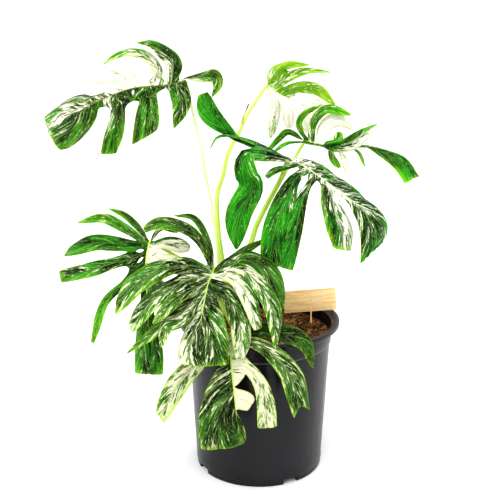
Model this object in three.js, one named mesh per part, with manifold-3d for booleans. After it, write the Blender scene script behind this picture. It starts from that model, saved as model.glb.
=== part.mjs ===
// A potted variegated monstera: seven split leaves on their stalks, a short leaning stem,
// potting soil, a round plant pot and a small wooden tag on a stake.
// Millimetres, +Z up. The origin is the centre of the pot's foot, on the surface it stands on.
// The front is -Y and +X is to the right.

import * as THREE from 'three';
import { mergeVertices } from 'three/addons/utils/BufferGeometryUtils.js';
import Module from 'manifold-3d';

const wasm = await Module();
wasm.setup();

// Gap between pieces that touch
const GAP = 0.3;

// Pot: a tapered round container with a flanged rim, a step below it and a notched foot
const POT = {
  height: 230,
  rimRadius: 120,
  mouthRadius: 112.7,
  lipHeight: 7,
  neckRadius: 109,
  stepDrop: 31,
  stepDepth: 1.6,
  neckTaper: 1.2,
  footRadius: 95.5,
  footRing: 7,
  footEdge: 0.8,
  baseLift: 7,
  base: 2.5,
  bead: 2,
  wall: 1.8,
  rounding: 1.2,
  centreFoot: 22,
  sides: 48,
};
const NOTCH = { count: 4, width: 24, height: 7.5, reach: 22, firstAngle: -61.2 };

// Soil: fills the pot to a little below its rim, with a coarse surface
const SOIL = {
  top: 210,
  bottom: 10.5,
  bottomInset: 2.6,
  relief: 2.4,
  rings: 4,
  outerBand: 0.6,
  sides: POT.sides,
};

// Stem: leans left out of the soil and carries every stalk
const STEM = {
  route: [[-6, 6, 150], [-9, 6, 196], [-16, 6, 222], [-28, 5, 246], [-41, 3, 270], [-51, 2, 294]],
  radius: 9.5,
  topRadius: 8,
  nodeSwell: 1.1,
  nodes: 6,
  sides: 14,
  steps: 30,
};

// Tag: a thin wooden plate fixed to the back of a square stake
const TAG = {
  width: 80,
  height: 35,
  thickness: 3,
  centre: [77.5, 30, 246.5],
  tilt: 4.2,
  stakeSide: 2.4,
  stakeTop: 236,
  stakeBottom: 165,
  stakeX: 79.5,
};

// Blade: one thin sheet
const BLADE = {
  thickness: 0.75,
  stations: 12,
  rows: [0, 0.08, 0.16, 0.24, 0.34, 0.46, 0.6, 0.75, 0.89, 1],
  rootBlend: 0.22,
  shearBlend: 0.6,
  cutRound: 0.12,
  frameSteps: 60,
};

const COLOUR = {
  pot: 0x2b2b2f,
  soil: 0x4a3020,
  stem: 0x6f8f2c,
  stalk: 0xa9cf2e,
  paleStalk: 0xd9e59a,
  tag: 0xdcb277,
};

// Leaves. A midrib runs from the hub, where the stalk meets the blade, towards the apex, and is
// divided into stations that crowd towards the hub by the exponent `crowding`. Each lobe leaves
// the midrib between two stations, on the left (1) or right (-1) of a leaf seen from above with
// its apex ahead, and runs through its own points. `half` is its greatest half width.
const LEFT = 1;
const RIGHT = -1;
const LOBE_DEFAULTS = {
  end: 0.6,     // half width at the tip, as a share of the greatest
  peak: 0.7,    // where along the lobe it is widest
  neck: 0.55,   // half width at the root, as a share of the greatest
  waist: 0,     // how far along the lobe it stays as narrow as its root
  skew: 0,      // how much longer the edge nearer the apex is
  fork: 0,      // how far the two corners of the tip reach past its middle
  sinus: 0.22,  // how far the web to the next lobe reaches
  hole: null,   // a lens hole in that web: start, end, half width
  face: null,   // which way the upper side faces at the root, where not as the leaf
};

function lobe(side, from, to, half, points, options = {}) {
  return { ...LOBE_DEFAULTS, side, from, to, half, points, ...options };
}

const LEAVES = [
  {
    name: 'upper_left',
    colour: 0x3f8a2a,
    normal: [-0.15, -0.5, 0.85],
    crowding: 1,
    midrib: [[-102, -10, 584], [-128, -14, 577], [-179, -18, 572], [-229, -16, 553], [-272, -14, 529]],
    lobes: [
      lobe(LEFT, 0, 2, 14, [[-108, -40, 554], [-118, -50, 521]], {
        end: 0.05, peak: 0.3, neck: 0.85, sinus: 0.08,
      }),
      lobe(LEFT, 2, 5, 17, [[-154, -44, 542], [-158, -54, 508]], {
        end: 0.95, skew: 12, peak: 0.75, sinus: 0.24, hole: [0.03, 0.13, 2],
      }),
      lobe(LEFT, 5, 8, 14, [[-197, -44, 529], [-209, -54, 486]], {
        end: 0.85, skew: 3, neck: 0.65, sinus: 0.18,
      }),
      lobe(LEFT, 8, 12, 26, [[-249, -36, 524], [-284, -44, 500]], { end: 0.85, neck: 0.8 }),
      lobe(RIGHT, 0, 1, 9, [[-82, 4, 585], [-64, -2, 588], [-59, -10, 576], [-67, -16, 560]], {
        end: 0.08, peak: 0.6, neck: 0.4, sinus: 0.08, face: [0, -0.9, 0.4],
      }),
      lobe(RIGHT, 1, 2, 12, [[-122, 16, 604], [-139, 28, 621], [-155, 36, 631], [-175, 40, 631]], {
        end: 0.05, peak: 0.35, neck: 0.7, sinus: 0.1, face: [0, -0.85, 0.5],
      }),
      lobe(RIGHT, 2, 4, 9, [
        [-146, 32, 593], [-164, 48, 612], [-190, 58, 617], [-212, 60, 610], [-228, 60, 599],
      ], { end: 0.08, peak: 0.65, sinus: 0.15, face: [0, -0.7, 0.7] }),
      lobe(RIGHT, 4, 7, 17, [[-198, 34, 584], [-252, 48, 579]], { neck: 0.8, sinus: 0.3 }),
      lobe(RIGHT, 7, 12, 15, [[-266, 26, 550], [-312, 28, 523]], { end: 0.7, neck: 0.8 }),
    ],
  },
  {
    name: 'upper_right',
    colour: 0x7cb62a,
    normal: [0.1, -0.3, 0.95],
    crowding: 1.3,
    midrib: [[12, 127, 563], [32, 125, 549], [63, 123, 536], [97, 123, 524]],
    lobes: [
      lobe(LEFT, 0, 1, 9, [[25, 145, 583], [49, 156, 592], [79, 162, 591]], {
        end: 0.08, peak: 0.45, neck: 0.8, sinus: 0.45, face: [0, -0.6, 0.8],
      }),
      lobe(LEFT, 1, 3, 8, [[51, 147, 575], [76, 156, 583], [112, 162, 580]], {
        end: 0.04, peak: 0.4, neck: 0.8, sinus: 0.15, face: [0, -0.7, 0.7],
      }),
      lobe(LEFT, 3, 6, 12, [[57, 142, 557], [90, 149, 555], [120, 151, 530]], {
        end: 0.08, peak: 0.6, neck: 0.6, face: [0, -0.85, 0.5],
      }),
      lobe(LEFT, 6, 9, 9, [[92, 146, 536], [106, 154, 522]], { end: 0.3 }),
      lobe(LEFT, 9, 12, 9, [[107, 126, 517], [118, 122, 508]], { end: 0.4, neck: 0.8 }),
      lobe(RIGHT, 0, 2, 11, [[26, 110, 536], [23, 101, 509], [17, 97, 485]], {
        end: 0.06, peak: 0.65, neck: 0.5, sinus: 0.08,
      }),
      lobe(RIGHT, 2, 5, 13, [[44, 104, 527], [46, 99, 501]], { end: 0.5, neck: 0.4, sinus: 0.08 }),
      lobe(RIGHT, 5, 8, 12, [[68, 104, 519], [75, 98, 495]], { end: 0.5, neck: 0.4, sinus: 0.08 }),
      lobe(RIGHT, 8, 12, 9, [[98, 112, 515], [108, 110, 504]], { end: 0.5, neck: 0.8 }),
    ],
  },
  {
    name: 'centre_right',
    colour: 0x2f7430,
    normal: [0.35, -0.45, 0.8],
    crowding: 1.25,
    midrib: [[39, -40, 478], [61, -50, 469], [85, -58, 454], [124, -68, 426], [159, -74, 404]],
    lobes: [
      lobe(LEFT, 0, 1, 14, [
        [4, -42, 490], [-28, -52, 505], [-41, -56, 516], [-59, -60, 532], [-71, -63, 547], [-77, -66, 570],
      ], { end: 0.5, peak: 0.84, neck: 0.22, waist: 0.42, sinus: 0.08, face: [-0.2, -1, 0.3] }),
      lobe(LEFT, 1, 4, 10, [[64, -34, 474], [88, -16, 462], [110, -4, 445]], {
        end: 0.5, neck: 0.7, sinus: 0.35,
      }),
      lobe(LEFT, 4, 7, 9, [[109, -42, 447], [131, -30, 432], [151, -20, 414]], {
        end: 0.2, neck: 0.7, sinus: 0.5,
      }),
      lobe(LEFT, 7, 12, 12, [[158, -50, 414], [172, -60, 390], [168, -72, 365]], { end: 0.3, neck: 0.6 }),
      lobe(RIGHT, 0, 1, 3.5, [[1, -52, 499], [-37, -76, 514], [-57, -84, 514], [-67, -86, 500]], {
        end: 0.3, peak: 0.5, sinus: 0.4,
      }),
      lobe(RIGHT, 1, 2, 18, [
        [6, -72, 488], [-20, -86, 490], [-19, -95, 468], [-13, -86, 445], [-30, -84, 406], [-33, -80, 358],
      ], { end: 0.1, peak: 0.75, neck: 0.5, sinus: 0.1, face: [0, -0.6, 0.8] }),
      lobe(RIGHT, 2, 3, 6, [[22, -74, 468], [8, -82, 459]], { end: 0.6, sinus: 0.1 }),
      lobe(RIGHT, 3, 4, 17, [[40, -80, 442], [21, -92, 394], [13, -94, 340]], {
        end: 0.8, neck: 0.6, sinus: 1, hole: [0.05, 0.3, 4],
      }),
      lobe(RIGHT, 4, 5, 11, [[59, -80, 439], [48, -92, 394], [36, -96, 333]], {
        end: 0.8, neck: 0.6, sinus: 0.08,
      }),
      lobe(RIGHT, 5, 8, 22, [[100, -84, 417], [109, -97, 389], [112, -100, 362]], {
        end: 0.75, skew: 5, peak: 0.6, neck: 0.5, sinus: 0.1,
      }),
      lobe(RIGHT, 8, 12, 16, [[146, -84, 392], [148, -88, 366], [139, -92, 340]], {
        end: 0.1, peak: 0.4, neck: 0.8,
      }),
    ],
  },
  {
    name: 'right_back',
    colour: 0x2fa02a,
    normal: [0, -0.1, 1],
    crowding: 1.2,
    midrib: [[67, 53, 488], [97, 48, 483], [131, 44, 481], [163, 40, 482], [189, 38, 473]],
    lobes: [
      lobe(LEFT, 0, 1, 5, [[59, 54, 508], [60, 56, 519], [70, 58, 530], [92, 62, 540]], {
        end: 0.1, peak: 0.45, sinus: 0.1, face: [0, -1, 0.2],
      }),
      lobe(LEFT, 1, 2, 7, [[78, 56, 508], [86, 60, 524], [103, 64, 534], [136, 66, 525]], {
        end: 0.15, neck: 0.8, sinus: 0.1, face: [0, -0.9, 0.4],
      }),
      lobe(LEFT, 2, 4, 12, [[96, 64, 506], [118, 72, 518], [139, 78, 505]], {
        end: 0.4, sinus: 0.12, face: [0, -0.6, 0.8],
      }),
      lobe(LEFT, 4, 7, 7, [[117, 62, 489], [121, 68, 499]], { end: 0.5, sinus: 0.08 }),
      lobe(LEFT, 7, 12, 9, [[213, 47, 464], [238, 43, 434]], {
        end: 1.1, peak: 0.9, neck: 0.4, face: [0, -0.3, 1],
      }),
      lobe(RIGHT, 0, 1, 5, [[43, 42, 503], [28, 32, 494], [10, 22, 476]], {
        end: 0.4, peak: 0.4, sinus: 0.08, face: [0, -0.8, 0.6],
      }),
      lobe(RIGHT, 1, 2, 5, [[41, 28, 489], [16, 18, 474]], { end: 0.15, sinus: 0.08 }),
      lobe(RIGHT, 2, 4, 13, [[102, 21, 485], [131, 13, 490], [167, 7, 519]], {
        end: 0.05, peak: 0.55, neck: 0.4, sinus: 0.08, face: [0, -1, -0.2],
      }),
      lobe(RIGHT, 4, 5, 6, [[107, 24, 467], [117, 19, 454]], { end: 0.4, sinus: 0.08 }),
      lobe(RIGHT, 5, 6, 5, [[124, 24, 464], [125, 19, 449]], { end: 0.4, sinus: 0.08 }),
      lobe(RIGHT, 6, 7, 4, [[144, 28, 476], [154, 21, 455]], { end: 0.1, sinus: 0.08 }),
      lobe(RIGHT, 7, 12, 9, [[197, 28, 458], [217, 27, 433]], {
        end: 1.1, peak: 0.9, neck: 0.4, face: [0, -0.3, 1],
      }),
    ],
  },
  {
    name: 'left',
    colour: 0x4c9a34,
    normal: [-0.1, -0.55, 0.8],
    crowding: 1.7,
    midrib: [[-158, -30, 356], [-162, -50, 331], [-159, -78, 291], [-155, -98, 231]],
    lobes: [
      lobe(RIGHT, 0, 1, 5, [[-178, -20, 377], [-195, -18, 392], [-217, -20, 402]], {
        end: 0.1, peak: 0.5, sinus: 0.1,
      }),
      lobe(RIGHT, 1, 2, 8, [[-197, -28, 377], [-224, -30, 390], [-259, -36, 385]], {
        end: 0.08, peak: 0.5, sinus: 0.15,
      }),
      lobe(RIGHT, 2, 3, 13, [[-199, -45, 356], [-233, -52, 360], [-271, -60, 350]], {
        end: 0.5, peak: 0.6, skew: 7, sinus: 0.24, hole: [0.04, 0.14, 3],
      }),
      lobe(RIGHT, 3, 4, 12, [[-197, -62, 336], [-235, -72, 327], [-279, -80, 318]], {
        end: 0.8, sinus: 0.25, hole: [0.04, 0.14, 3],
      }),
      lobe(RIGHT, 4, 6, 7, [[-192, -84, 307], [-217, -96, 283], [-234, -104, 229]], {
        end: 0.4, sinus: 0.16,
      }),
      lobe(RIGHT, 6, 12, 11, [[-163, -100, 239], [-166, -108, 184]], { end: 0.9, neck: 0.7 }),
      lobe(LEFT, 0, 1, 5, [[-141, -20, 373], [-118, -16, 366]], { end: 0.2, sinus: 0.1 }),
      lobe(LEFT, 1, 3, 12, [[-131, -36, 355], [-100, -36, 347]], { end: 0.4, neck: 0.5, sinus: 0.3 }),
      lobe(LEFT, 3, 5, 13, [[-127, -56, 332], [-99, -60, 319]], { end: 0.5 }),
      lobe(LEFT, 5, 8, 13, [[-123, -80, 284], [-104, -88, 250]], { end: 0.5 }),
      lobe(LEFT, 8, 12, 11, [[-147, -102, 218], [-146, -106, 182]], { end: 0.9, neck: 0.7 }),
    ],
  },
  {
    name: 'front',
    colour: 0x3a7f2c,
    normal: [0, -0.75, 0.65],
    crowding: 1.5,
    midrib: [[-63, -90, 335], [-72, -116, 316], [-77, -136, 293], [-82, -150, 259]],
    lobes: [
      lobe(RIGHT, 0, 1, 5, [[-73, -66, 367], [-92, -56, 396], [-120, -56, 400]], {
        end: 0.1, peak: 0.6, sinus: 0.1,
      }),
      lobe(RIGHT, 1, 2, 9.5, [[-83, -78, 369], [-105, -74, 387], [-138, -74, 394], [-160, -78, 385]], {
        end: 0.5, neck: 0.5, sinus: 0.12,
      }),
      lobe(RIGHT, 2, 3, 16, [[-95, -116, 348], [-134, -136, 345], [-166, -146, 328], [-192, -150, 299]], {
        end: 0.5, skew: 9, neck: 0.5, sinus: 0.35,
      }),
      lobe(RIGHT, 3, 4, 14, [[-108, -128, 325], [-145, -144, 304], [-174, -150, 268]], {
        end: 0.5, skew: 3, neck: 0.5, sinus: 0.34,
      }),
      lobe(RIGHT, 4, 5, 9, [[-105, -146, 312], [-122, -161, 301], [-142, -168, 280]], {
        end: 0.1, neck: 0.6, sinus: 0.24,
      }),
      lobe(RIGHT, 5, 6, 9, [[-113, -142, 285], [-146, -146, 258], [-180, -148, 231]], {
        end: 0.06, peak: 0.5, sinus: 0.15,
      }),
      lobe(RIGHT, 6, 8, 10, [[-104, -158, 283], [-125, -166, 274], [-133, -164, 246]], { end: 0.25 }),
      lobe(RIGHT, 8, 12, 16, [[-92, -162, 247], [-95, -166, 221]], { end: 0.85, neck: 0.8 }),
      lobe(LEFT, 0, 1, 7, [[-39, -80, 344], [-20, -66, 353], [6, -52, 364]], {
        end: 0.3, peak: 0.5, sinus: 0.1,
      }),
      lobe(LEFT, 1, 2, 14, [[-33, -96, 347], [-13, -104, 352], [14, -112, 332], [31, -116, 283]], {
        end: 0.1, neck: 0.4, sinus: 0.12,
      }),
      lobe(LEFT, 2, 3, 13, [[-30, -116, 341], [-5, -130, 327], [17, -144, 292], [21, -152, 239]], {
        end: 0.1, peak: 0.6, neck: 0.4,
      }),
      lobe(LEFT, 3, 4, 12, [[-35, -128, 330], [-15, -142, 306], [-3, -144, 264]], { end: 0.5, peak: 0.6 }),
      lobe(LEFT, 4, 6, 15, [[-45, -128, 309], [-29, -142, 281], [-25, -149, 248], [-27, -150, 224]], {
        end: 0.5, peak: 0.6, neck: 0.7, sinus: 0.2,
      }),
      lobe(LEFT, 6, 12, 17, [[-63, -158, 275], [-57, -168, 221]], { end: 0.85, neck: 0.9 }),
    ],
  },
  {
    name: 'low_front',
    colour: 0x5f9a44,
    normal: [0, -1, 0.15],
    crowding: 1,
    midrib: [[-35, -120, 254], [-39, -132, 235], [-39, -140, 212], [-35, -146, 165], [-32, -147, 125]],
    lobes: [
      lobe(RIGHT, 0, 1, 16, [[-64, -116, 225], [-98, -112, 193], [-124, -112, 157], [-142, -112, 120]], {
        skew: 4, sinus: 0,
      }),
      lobe(RIGHT, 1, 3, 8, [[-52, -128, 225], [-66, -130, 211]], { end: 0.3, sinus: 0.1 }),
      lobe(RIGHT, 3, 12, 26, [[-52, -146, 174], [-59, -150, 131], [-60, -148, 87]], {
        end: 0.85, peak: 0.6, neck: 0.75,
      }),
      lobe(LEFT, 0, 1, 13, [[2, -120, 254], [38, -122, 249], [63, -124, 234], [73, -124, 200]], {
        end: 0.05, peak: 0.55, sinus: 0.08,
      }),
      lobe(LEFT, 1, 2, 17, [[-6, -134, 240], [23, -140, 222], [45, -138, 189], [57, -132, 140]], {
        end: 0.75, peak: 0.75, neck: 0.4, sinus: 0.08, fork: 14,
      }),
      lobe(LEFT, 2, 7, 13.5, [[-19, -144, 209], [0, -148, 186], [8, -146, 154], [10, -142, 118]], {
        end: 1, peak: 0.9, sinus: 0,
      }),
      lobe(LEFT, 7, 10, 14, [[-22, -148, 161], [-12, -149, 155]], {
        end: 0.7, peak: 0.4, neck: 1, sinus: 0,
      }),
      lobe(LEFT, 10, 12, 4, [[-26, -148, 122], [-22, -147, 98]], { end: 0.3, neck: 0.8 }),
    ],
  },
];

// Stalks: from inside the stem to the hub of their leaf, thicker at the base
const STALKS = [
  {
    leaf: 'upper_left',
    base: 3.2,
    tip: 2,
    colour: COLOUR.paleStalk,
    route: [
      [-54, 3, 286], [-60, 5, 306], [-62, 5, 326], [-64, 6, 354], [-68, 8, 381], [-72, 8, 408],
      [-78, 6, 441], [-83, 3, 481], [-91, -2, 519], [-96, -6, 545], [-101, -9, 572], [-102, -10, 584],
    ],
  },
  {
    leaf: 'upper_right',
    base: 4,
    tip: 2.1,
    colour: COLOUR.stalk,
    route: [
      [-48, 2, 278], [-51, -5, 300], [-55, -6, 322], [-60, -6, 366], [-62, -5, 403], [-60, 0, 424],
      [-53, 8, 445], [-47, 25, 470], [-39, 40, 486], [-28, 58, 504], [-17, 82, 524], [-1, 110, 546],
      [12, 127, 563],
    ],
  },
  {
    leaf: 'centre_right',
    base: 4.3,
    tip: 3.4,
    colour: COLOUR.stalk,
    route: [
      [-38, 3, 262], [-34, -5, 284], [-28, -10, 307], [-12, -18, 352], [-4, -22, 378], [10, -28, 409],
      [27, -34, 443], [36, -38, 466], [39, -40, 478],
    ],
  },
  {
    leaf: 'right_back',
    base: 3.6,
    tip: 2.2,
    colour: COLOUR.stalk,
    route: [
      [-33, 4, 255], [-28, 14, 285], [-16, 20, 330], [-3, 26, 366],
      [17, 34, 404], [37, 42, 439], [56, 49, 469], [65, 52, 484], [67, 53, 488],
    ],
  },
  {
    leaf: 'left',
    base: 3.4,
    tip: 2.3,
    colour: COLOUR.stalk,
    route: [
      [-38, 4, 264], [-62, 8, 282], [-92, 4, 304], [-125, -4, 328], [-148, -18, 346], [-158, -30, 356],
    ],
  },
  {
    leaf: 'front',
    base: 3.8,
    tip: 2.8,
    colour: COLOUR.stalk,
    route: [[-44, 3, 274], [-47, -16, 288], [-53, -46, 310], [-59, -74, 326], [-63, -90, 335]],
  },
  {
    leaf: 'low_front',
    base: 3.6,
    tip: 2.5,
    colour: COLOUR.stalk,
    route: [
      [-24, 5, 240], [-30, -22, 256], [-44, -62, 282], [-54, -98, 298], [-55, -118, 294], [-45, -124, 275],
      [-35, -120, 254],
    ],
  },
];
const STALK_SIDES = 8;
const STALK_STEP = 16;

// Seat: how a stalk's end is probed against the blade above it, in rings about its centre
const SEAT = { gap: GAP + 0.05, reach: 8, probes: 24, rings: [0, 0.5, 1.04], step: 0.1, longestTrim: 40 };

// Helpers

const vec = (point) => new THREE.Vector3(...point);
const degrees = THREE.MathUtils.degToRad;

function smooth(x) {
  const t = THREE.MathUtils.clamp(x, 0, 1);
  return t * t * (3 - 2 * t);
}

// A curve through all its points, read by its share of the length
function routeThrough(points) {
  return new THREE.CatmullRomCurve3(points, false, 'catmullrom', 0.5);
}

// What is left of v square to a direction, at unit length
function squareTo(v, direction) {
  return v.clone().addScaledVector(direction, -v.dot(direction)).normalize();
}

function geometryFrom(vertices, faces) {
  const geometry = new THREE.BufferGeometry();
  geometry.setAttribute('position', new THREE.Float32BufferAttribute(vertices.flat(), 3));
  geometry.setIndex(faces.flat());
  return geometry;
}

function toManifold(geometry) {
  const bare = geometry.clone();
  bare.deleteAttribute('normal');
  bare.deleteAttribute('uv');
  const merged = mergeVertices(bare, 1e-3);
  return new wasm.Manifold(new wasm.Mesh({
    numProp: 3,
    vertProperties: new Float32Array(merged.attributes.position.array),
    triVerts: new Uint32Array(merged.index.array),
  }));
}

function fromManifold(solid) {
  const mesh = solid.getMesh();
  const geometry = new THREE.BufferGeometry();
  geometry.setAttribute('position', new THREE.BufferAttribute(new Float32Array(mesh.vertProperties), 3));
  geometry.setIndex(new THREE.BufferAttribute(new Uint32Array(mesh.triVerts), 1));
  return geometry;
}

// The one body that counts after a cut
function largestOf(solid) {
  const pieces = solid.decompose();
  return pieces.reduce((best, piece) => (piece.volume() > best.volume() ? piece : best));
}

// Round tube along a curve, with capped ends and a radius read at each share of the length
function tube(curve, radiusAt, sides, steps, endShare = 1) {
  const vertices = [];
  const faces = [];
  let across = squareTo(new THREE.Vector3(0, -1, 0.1), curve.getTangentAt(0));
  for (let i = 0; i <= steps; i++) {
    const share = (endShare * i) / steps;
    const centre = curve.getPointAt(share);
    const along = curve.getTangentAt(share);
    across = squareTo(across, along);
    const upward = new THREE.Vector3().crossVectors(along, across);
    for (let k = 0; k < sides; k++) {
      const angle = (2 * Math.PI * k) / sides;
      const point = centre.clone()
        .addScaledVector(across, radiusAt(share) * Math.cos(angle))
        .addScaledVector(upward, radiusAt(share) * Math.sin(angle));
      vertices.push(point.toArray());
    }
  }
  for (let i = 0; i < steps; i++) {
    for (let k = 0; k < sides; k++) {
      const a = i * sides + k;
      const b = i * sides + ((k + 1) % sides);
      faces.push([a, b, b + sides], [a, b + sides, a + sides]);
    }
  }
  const first = vertices.push(curve.getPointAt(0).toArray()) - 1;
  const last = vertices.push(curve.getPointAt(endShare).toArray()) - 1;
  const top = steps * sides;
  for (let k = 0; k < sides; k++) {
    const next = (k + 1) % sides;
    faces.push([first, next, k], [last, top + k, top + next]);
  }
  return geometryFrom(vertices, faces);
}

// Pot and soil

// Radius of the pot's outer wall at a height: steeper above the step than below it
function potRadius(z) {
  const stepHeight = POT.height - POT.stepDrop;
  const overStep = POT.neckRadius - POT.neckTaper;
  if (z >= stepHeight) return THREE.MathUtils.lerp(overStep, POT.neckRadius, (z - stepHeight) / POT.stepDrop);
  return THREE.MathUtils.lerp(POT.footRadius, overStep - POT.stepDepth, z / stepHeight);
}

function buildPot() {
  const { height, wall, footRadius, footRing, baseLift, centreFoot, rounding } = POT;
  const lipBottom = height - POT.lipHeight;
  const stepHeight = height - POT.stepDrop;
  const floor = baseLift + POT.base;
  const outline = [
    [0, 0],
    [centreFoot, 0],
    [centreFoot + 1, baseLift],
    [footRadius - footRing, baseLift],
    [footRadius - footRing + 1, 0],
    [footRadius - POT.footEdge, 0],
    [footRadius, POT.footEdge],
    [footRadius + 0.3, baseLift + POT.bead - 0.6],
    [footRadius + 1, baseLift + POT.bead],
    [potRadius(stepHeight - POT.stepDepth), stepHeight - POT.stepDepth],
    [potRadius(stepHeight + 0.2), stepHeight],
    [potRadius(lipBottom), lipBottom],
    [POT.rimRadius - 1, lipBottom],
    [POT.rimRadius, lipBottom + 1],
    [POT.rimRadius, height - rounding],
    [POT.rimRadius - rounding, height],
    [POT.mouthRadius + rounding, height],
    [POT.mouthRadius, height - rounding],
    [POT.neckRadius - wall + 0.4, lipBottom + wall],
    [POT.neckRadius - wall - 0.2, lipBottom - 1],
    [potRadius(stepHeight) - wall, stepHeight],
    [footRadius + 1 - wall, floor + POT.bead],
    [footRadius - 1 - wall, floor],
    [0, floor],
  ];
  const lathe = new THREE.LatheGeometry(outline.map(([r, z]) => new THREE.Vector2(r, z)), POT.sides);
  lathe.rotateX(Math.PI / 2);
  let pot = toManifold(lathe);
  for (let i = 0; i < NOTCH.count; i++) {
    const angle = degrees(NOTCH.firstAngle + (360 / NOTCH.count) * i);
    const notch = new THREE.BoxGeometry(NOTCH.reach, NOTCH.width, 2 * NOTCH.height);
    notch.translate(footRadius - footRing / 2, 0, 0);
    notch.rotateZ(angle);
    pot = pot.subtract(toManifold(notch));
  }
  return fromManifold(pot);
}

// Coarse relief of the potting mix, the same at every build
function soilRelief(angle, share) {
  const waves = Math.sin(5 * angle + 9 * share) + Math.sin(11 * angle - 14 * share + 1.3)
    + Math.cos(17 * angle + 23 * share);
  return (SOIL.relief * waves) / 3;
}

function buildSoil(cutters) {
  const { top, bottom, rings, outerBand, sides } = SOIL;
  const innerRadius = (z) => potRadius(z) - POT.wall - GAP;
  const vertices = [];
  const faces = [];
  for (let ring = 0; ring <= rings; ring++) {
    const share = (rings - ring + outerBand) / (rings + outerBand);
    for (let k = 0; k < sides; k++) {
      const angle = (2 * Math.PI * k) / sides;
      const radius = ring === 0 ? innerRadius(top - SOIL.relief) : innerRadius(top) * share;
      const z = ring === 0 ? top - SOIL.relief : top + soilRelief(angle, share);
      vertices.push([radius * Math.cos(angle), radius * Math.sin(angle), z]);
    }
  }
  const centre = vertices.push([0, 0, top]) - 1;
  const bottomRing = vertices.length;
  for (let k = 0; k < sides; k++) {
    const angle = (2 * Math.PI * k) / sides;
    const radius = innerRadius(bottom) - SOIL.bottomInset;
    vertices.push([radius * Math.cos(angle), radius * Math.sin(angle), bottom]);
  }
  const under = vertices.push([0, 0, bottom]) - 1;
  for (let k = 0; k < sides; k++) {
    const next = (k + 1) % sides;
    for (let ring = 0; ring < rings; ring++) {
      const a = ring * sides;
      faces.push([a + k, a + next, a + sides + next], [a + k, a + sides + next, a + sides + k]);
    }
    faces.push([rings * sides + k, rings * sides + next, centre]);
    faces.push([bottomRing + next, k, bottomRing + k], [bottomRing + next, next, k]);
    faces.push([bottomRing + next, bottomRing + k, under]);
  }
  let soil = toManifold(geometryFrom(vertices, faces));
  for (const cutter of cutters) soil = soil.subtract(toManifold(cutter));
  return fromManifold(largestOf(soil));
}

// Stem and stalks

// The stem swells a little at each node that carries a stalk
function stemRadius(share) {
  const ring = Math.max(0, Math.cos(2 * Math.PI * STEM.nodes * share)) ** 6;
  return THREE.MathUtils.lerp(STEM.radius, STEM.topRadius, share) + STEM.nodeSwell * ring;
}

// `extra` grows the stem all round, for the hole in the soil and the seats of the stalks
function buildStem(extra = 0) {
  const route = STEM.route.map(vec);
  const [first, second] = route;
  const [beforeLast, last] = route.slice(-2);
  first.addScaledVector(first.clone().sub(second).normalize(), extra);
  last.addScaledVector(last.clone().sub(beforeLast).normalize(), extra);
  return tube(routeThrough(route), (share) => stemRadius(share) + extra, STEM.sides, STEM.steps);
}

// Blades

// The upper normal at each share of the midrib, carried along from the hub without turning
function normalsAlong(curve, start, steps) {
  const normals = [squareTo(start, curve.getTangentAt(0))];
  for (let i = 1; i <= steps; i++) {
    normals.push(squareTo(normals[i - 1], curve.getTangentAt(i / steps)));
  }
  return (share) => {
    const place = share * steps;
    const i = Math.min(Math.floor(place), steps - 1);
    return normals[i].clone().lerp(normals[i + 1], place - i).normalize();
  };
}

// Half width of a lobe at a share of its length
function halfWidth({ half, end, peak, neck, waist }, share) {
  if (share <= peak) return half * (neck + (1 - neck) * smooth((share - waist) / (peak - waist)));
  return half * (1 - (1 - end) * ((share - peak) / (1 - peak)) ** 2.2);
}

// Rows of points across one lobe, from its root on the midrib to its tip
function layLobe(leaf, midrib, normalAt, shape) {
  const stationShare = (station) => (station / BLADE.stations) ** leaf.crowding;
  const rootMiddle = stationShare((shape.from + shape.to) / 2);
  const start = midrib.getPointAt(rootMiddle);
  const spine = routeThrough([start, ...shape.points.map(vec)]);
  const facing = shape.face ? vec(shape.face) : normalAt(rootMiddle);
  const startTangent = spine.getTangentAt(0);
  const startAcross = new THREE.Vector3()
    .crossVectors(startTangent, squareTo(facing, startTangent))
    .multiplyScalar(shape.side);
  const acrossAt = normalsAlong(spine, startAcross, BLADE.frameSteps);
  const columns = shape.to - shape.from;
  return BLADE.rows.map((share) => {
    const centre = spine.getPointAt(share);
    const along = spine.getTangentAt(share);
    const across = acrossAt(share);
    const blend = smooth(share / BLADE.rootBlend);
    const shearLeft = blend - smooth(share / BLADE.shearBlend);
    const row = [];
    for (let column = 0; column <= columns; column++) {
      const u = (2 * column) / columns - 1;
      const root = midrib.getPointAt(stationShare(shape.from + column));
      const reach = shape.skew * u * smooth((share - 0.5) / 0.5)
        + shape.fork * (u * u - 0.4) * smooth((share - 0.7) / 0.3);
      const strap = centre.clone()
        .addScaledVector(across, u * halfWidth(shape, share))
        .addScaledVector(along, reach);
      const shear = root.clone().sub(start).dot(startTangent) * shearLeft;
      row.push(root.add(centre).sub(start).lerp(strap, blend).addScaledVector(along, shear));
    }
    return row;
  });
}

// Moves one edge of a row to a new point, and the rest of the row with it in proportion
function pullEdge(row, atEnd, target) {
  const edge = atEnd ? row.length - 1 : 0;
  const shift = target.clone().sub(row[edge]);
  row.forEach((point, i) => {
    const share = i / (row.length - 1);
    point.addScaledVector(shift, atEnd ? share : 1 - share);
  });
}

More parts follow.
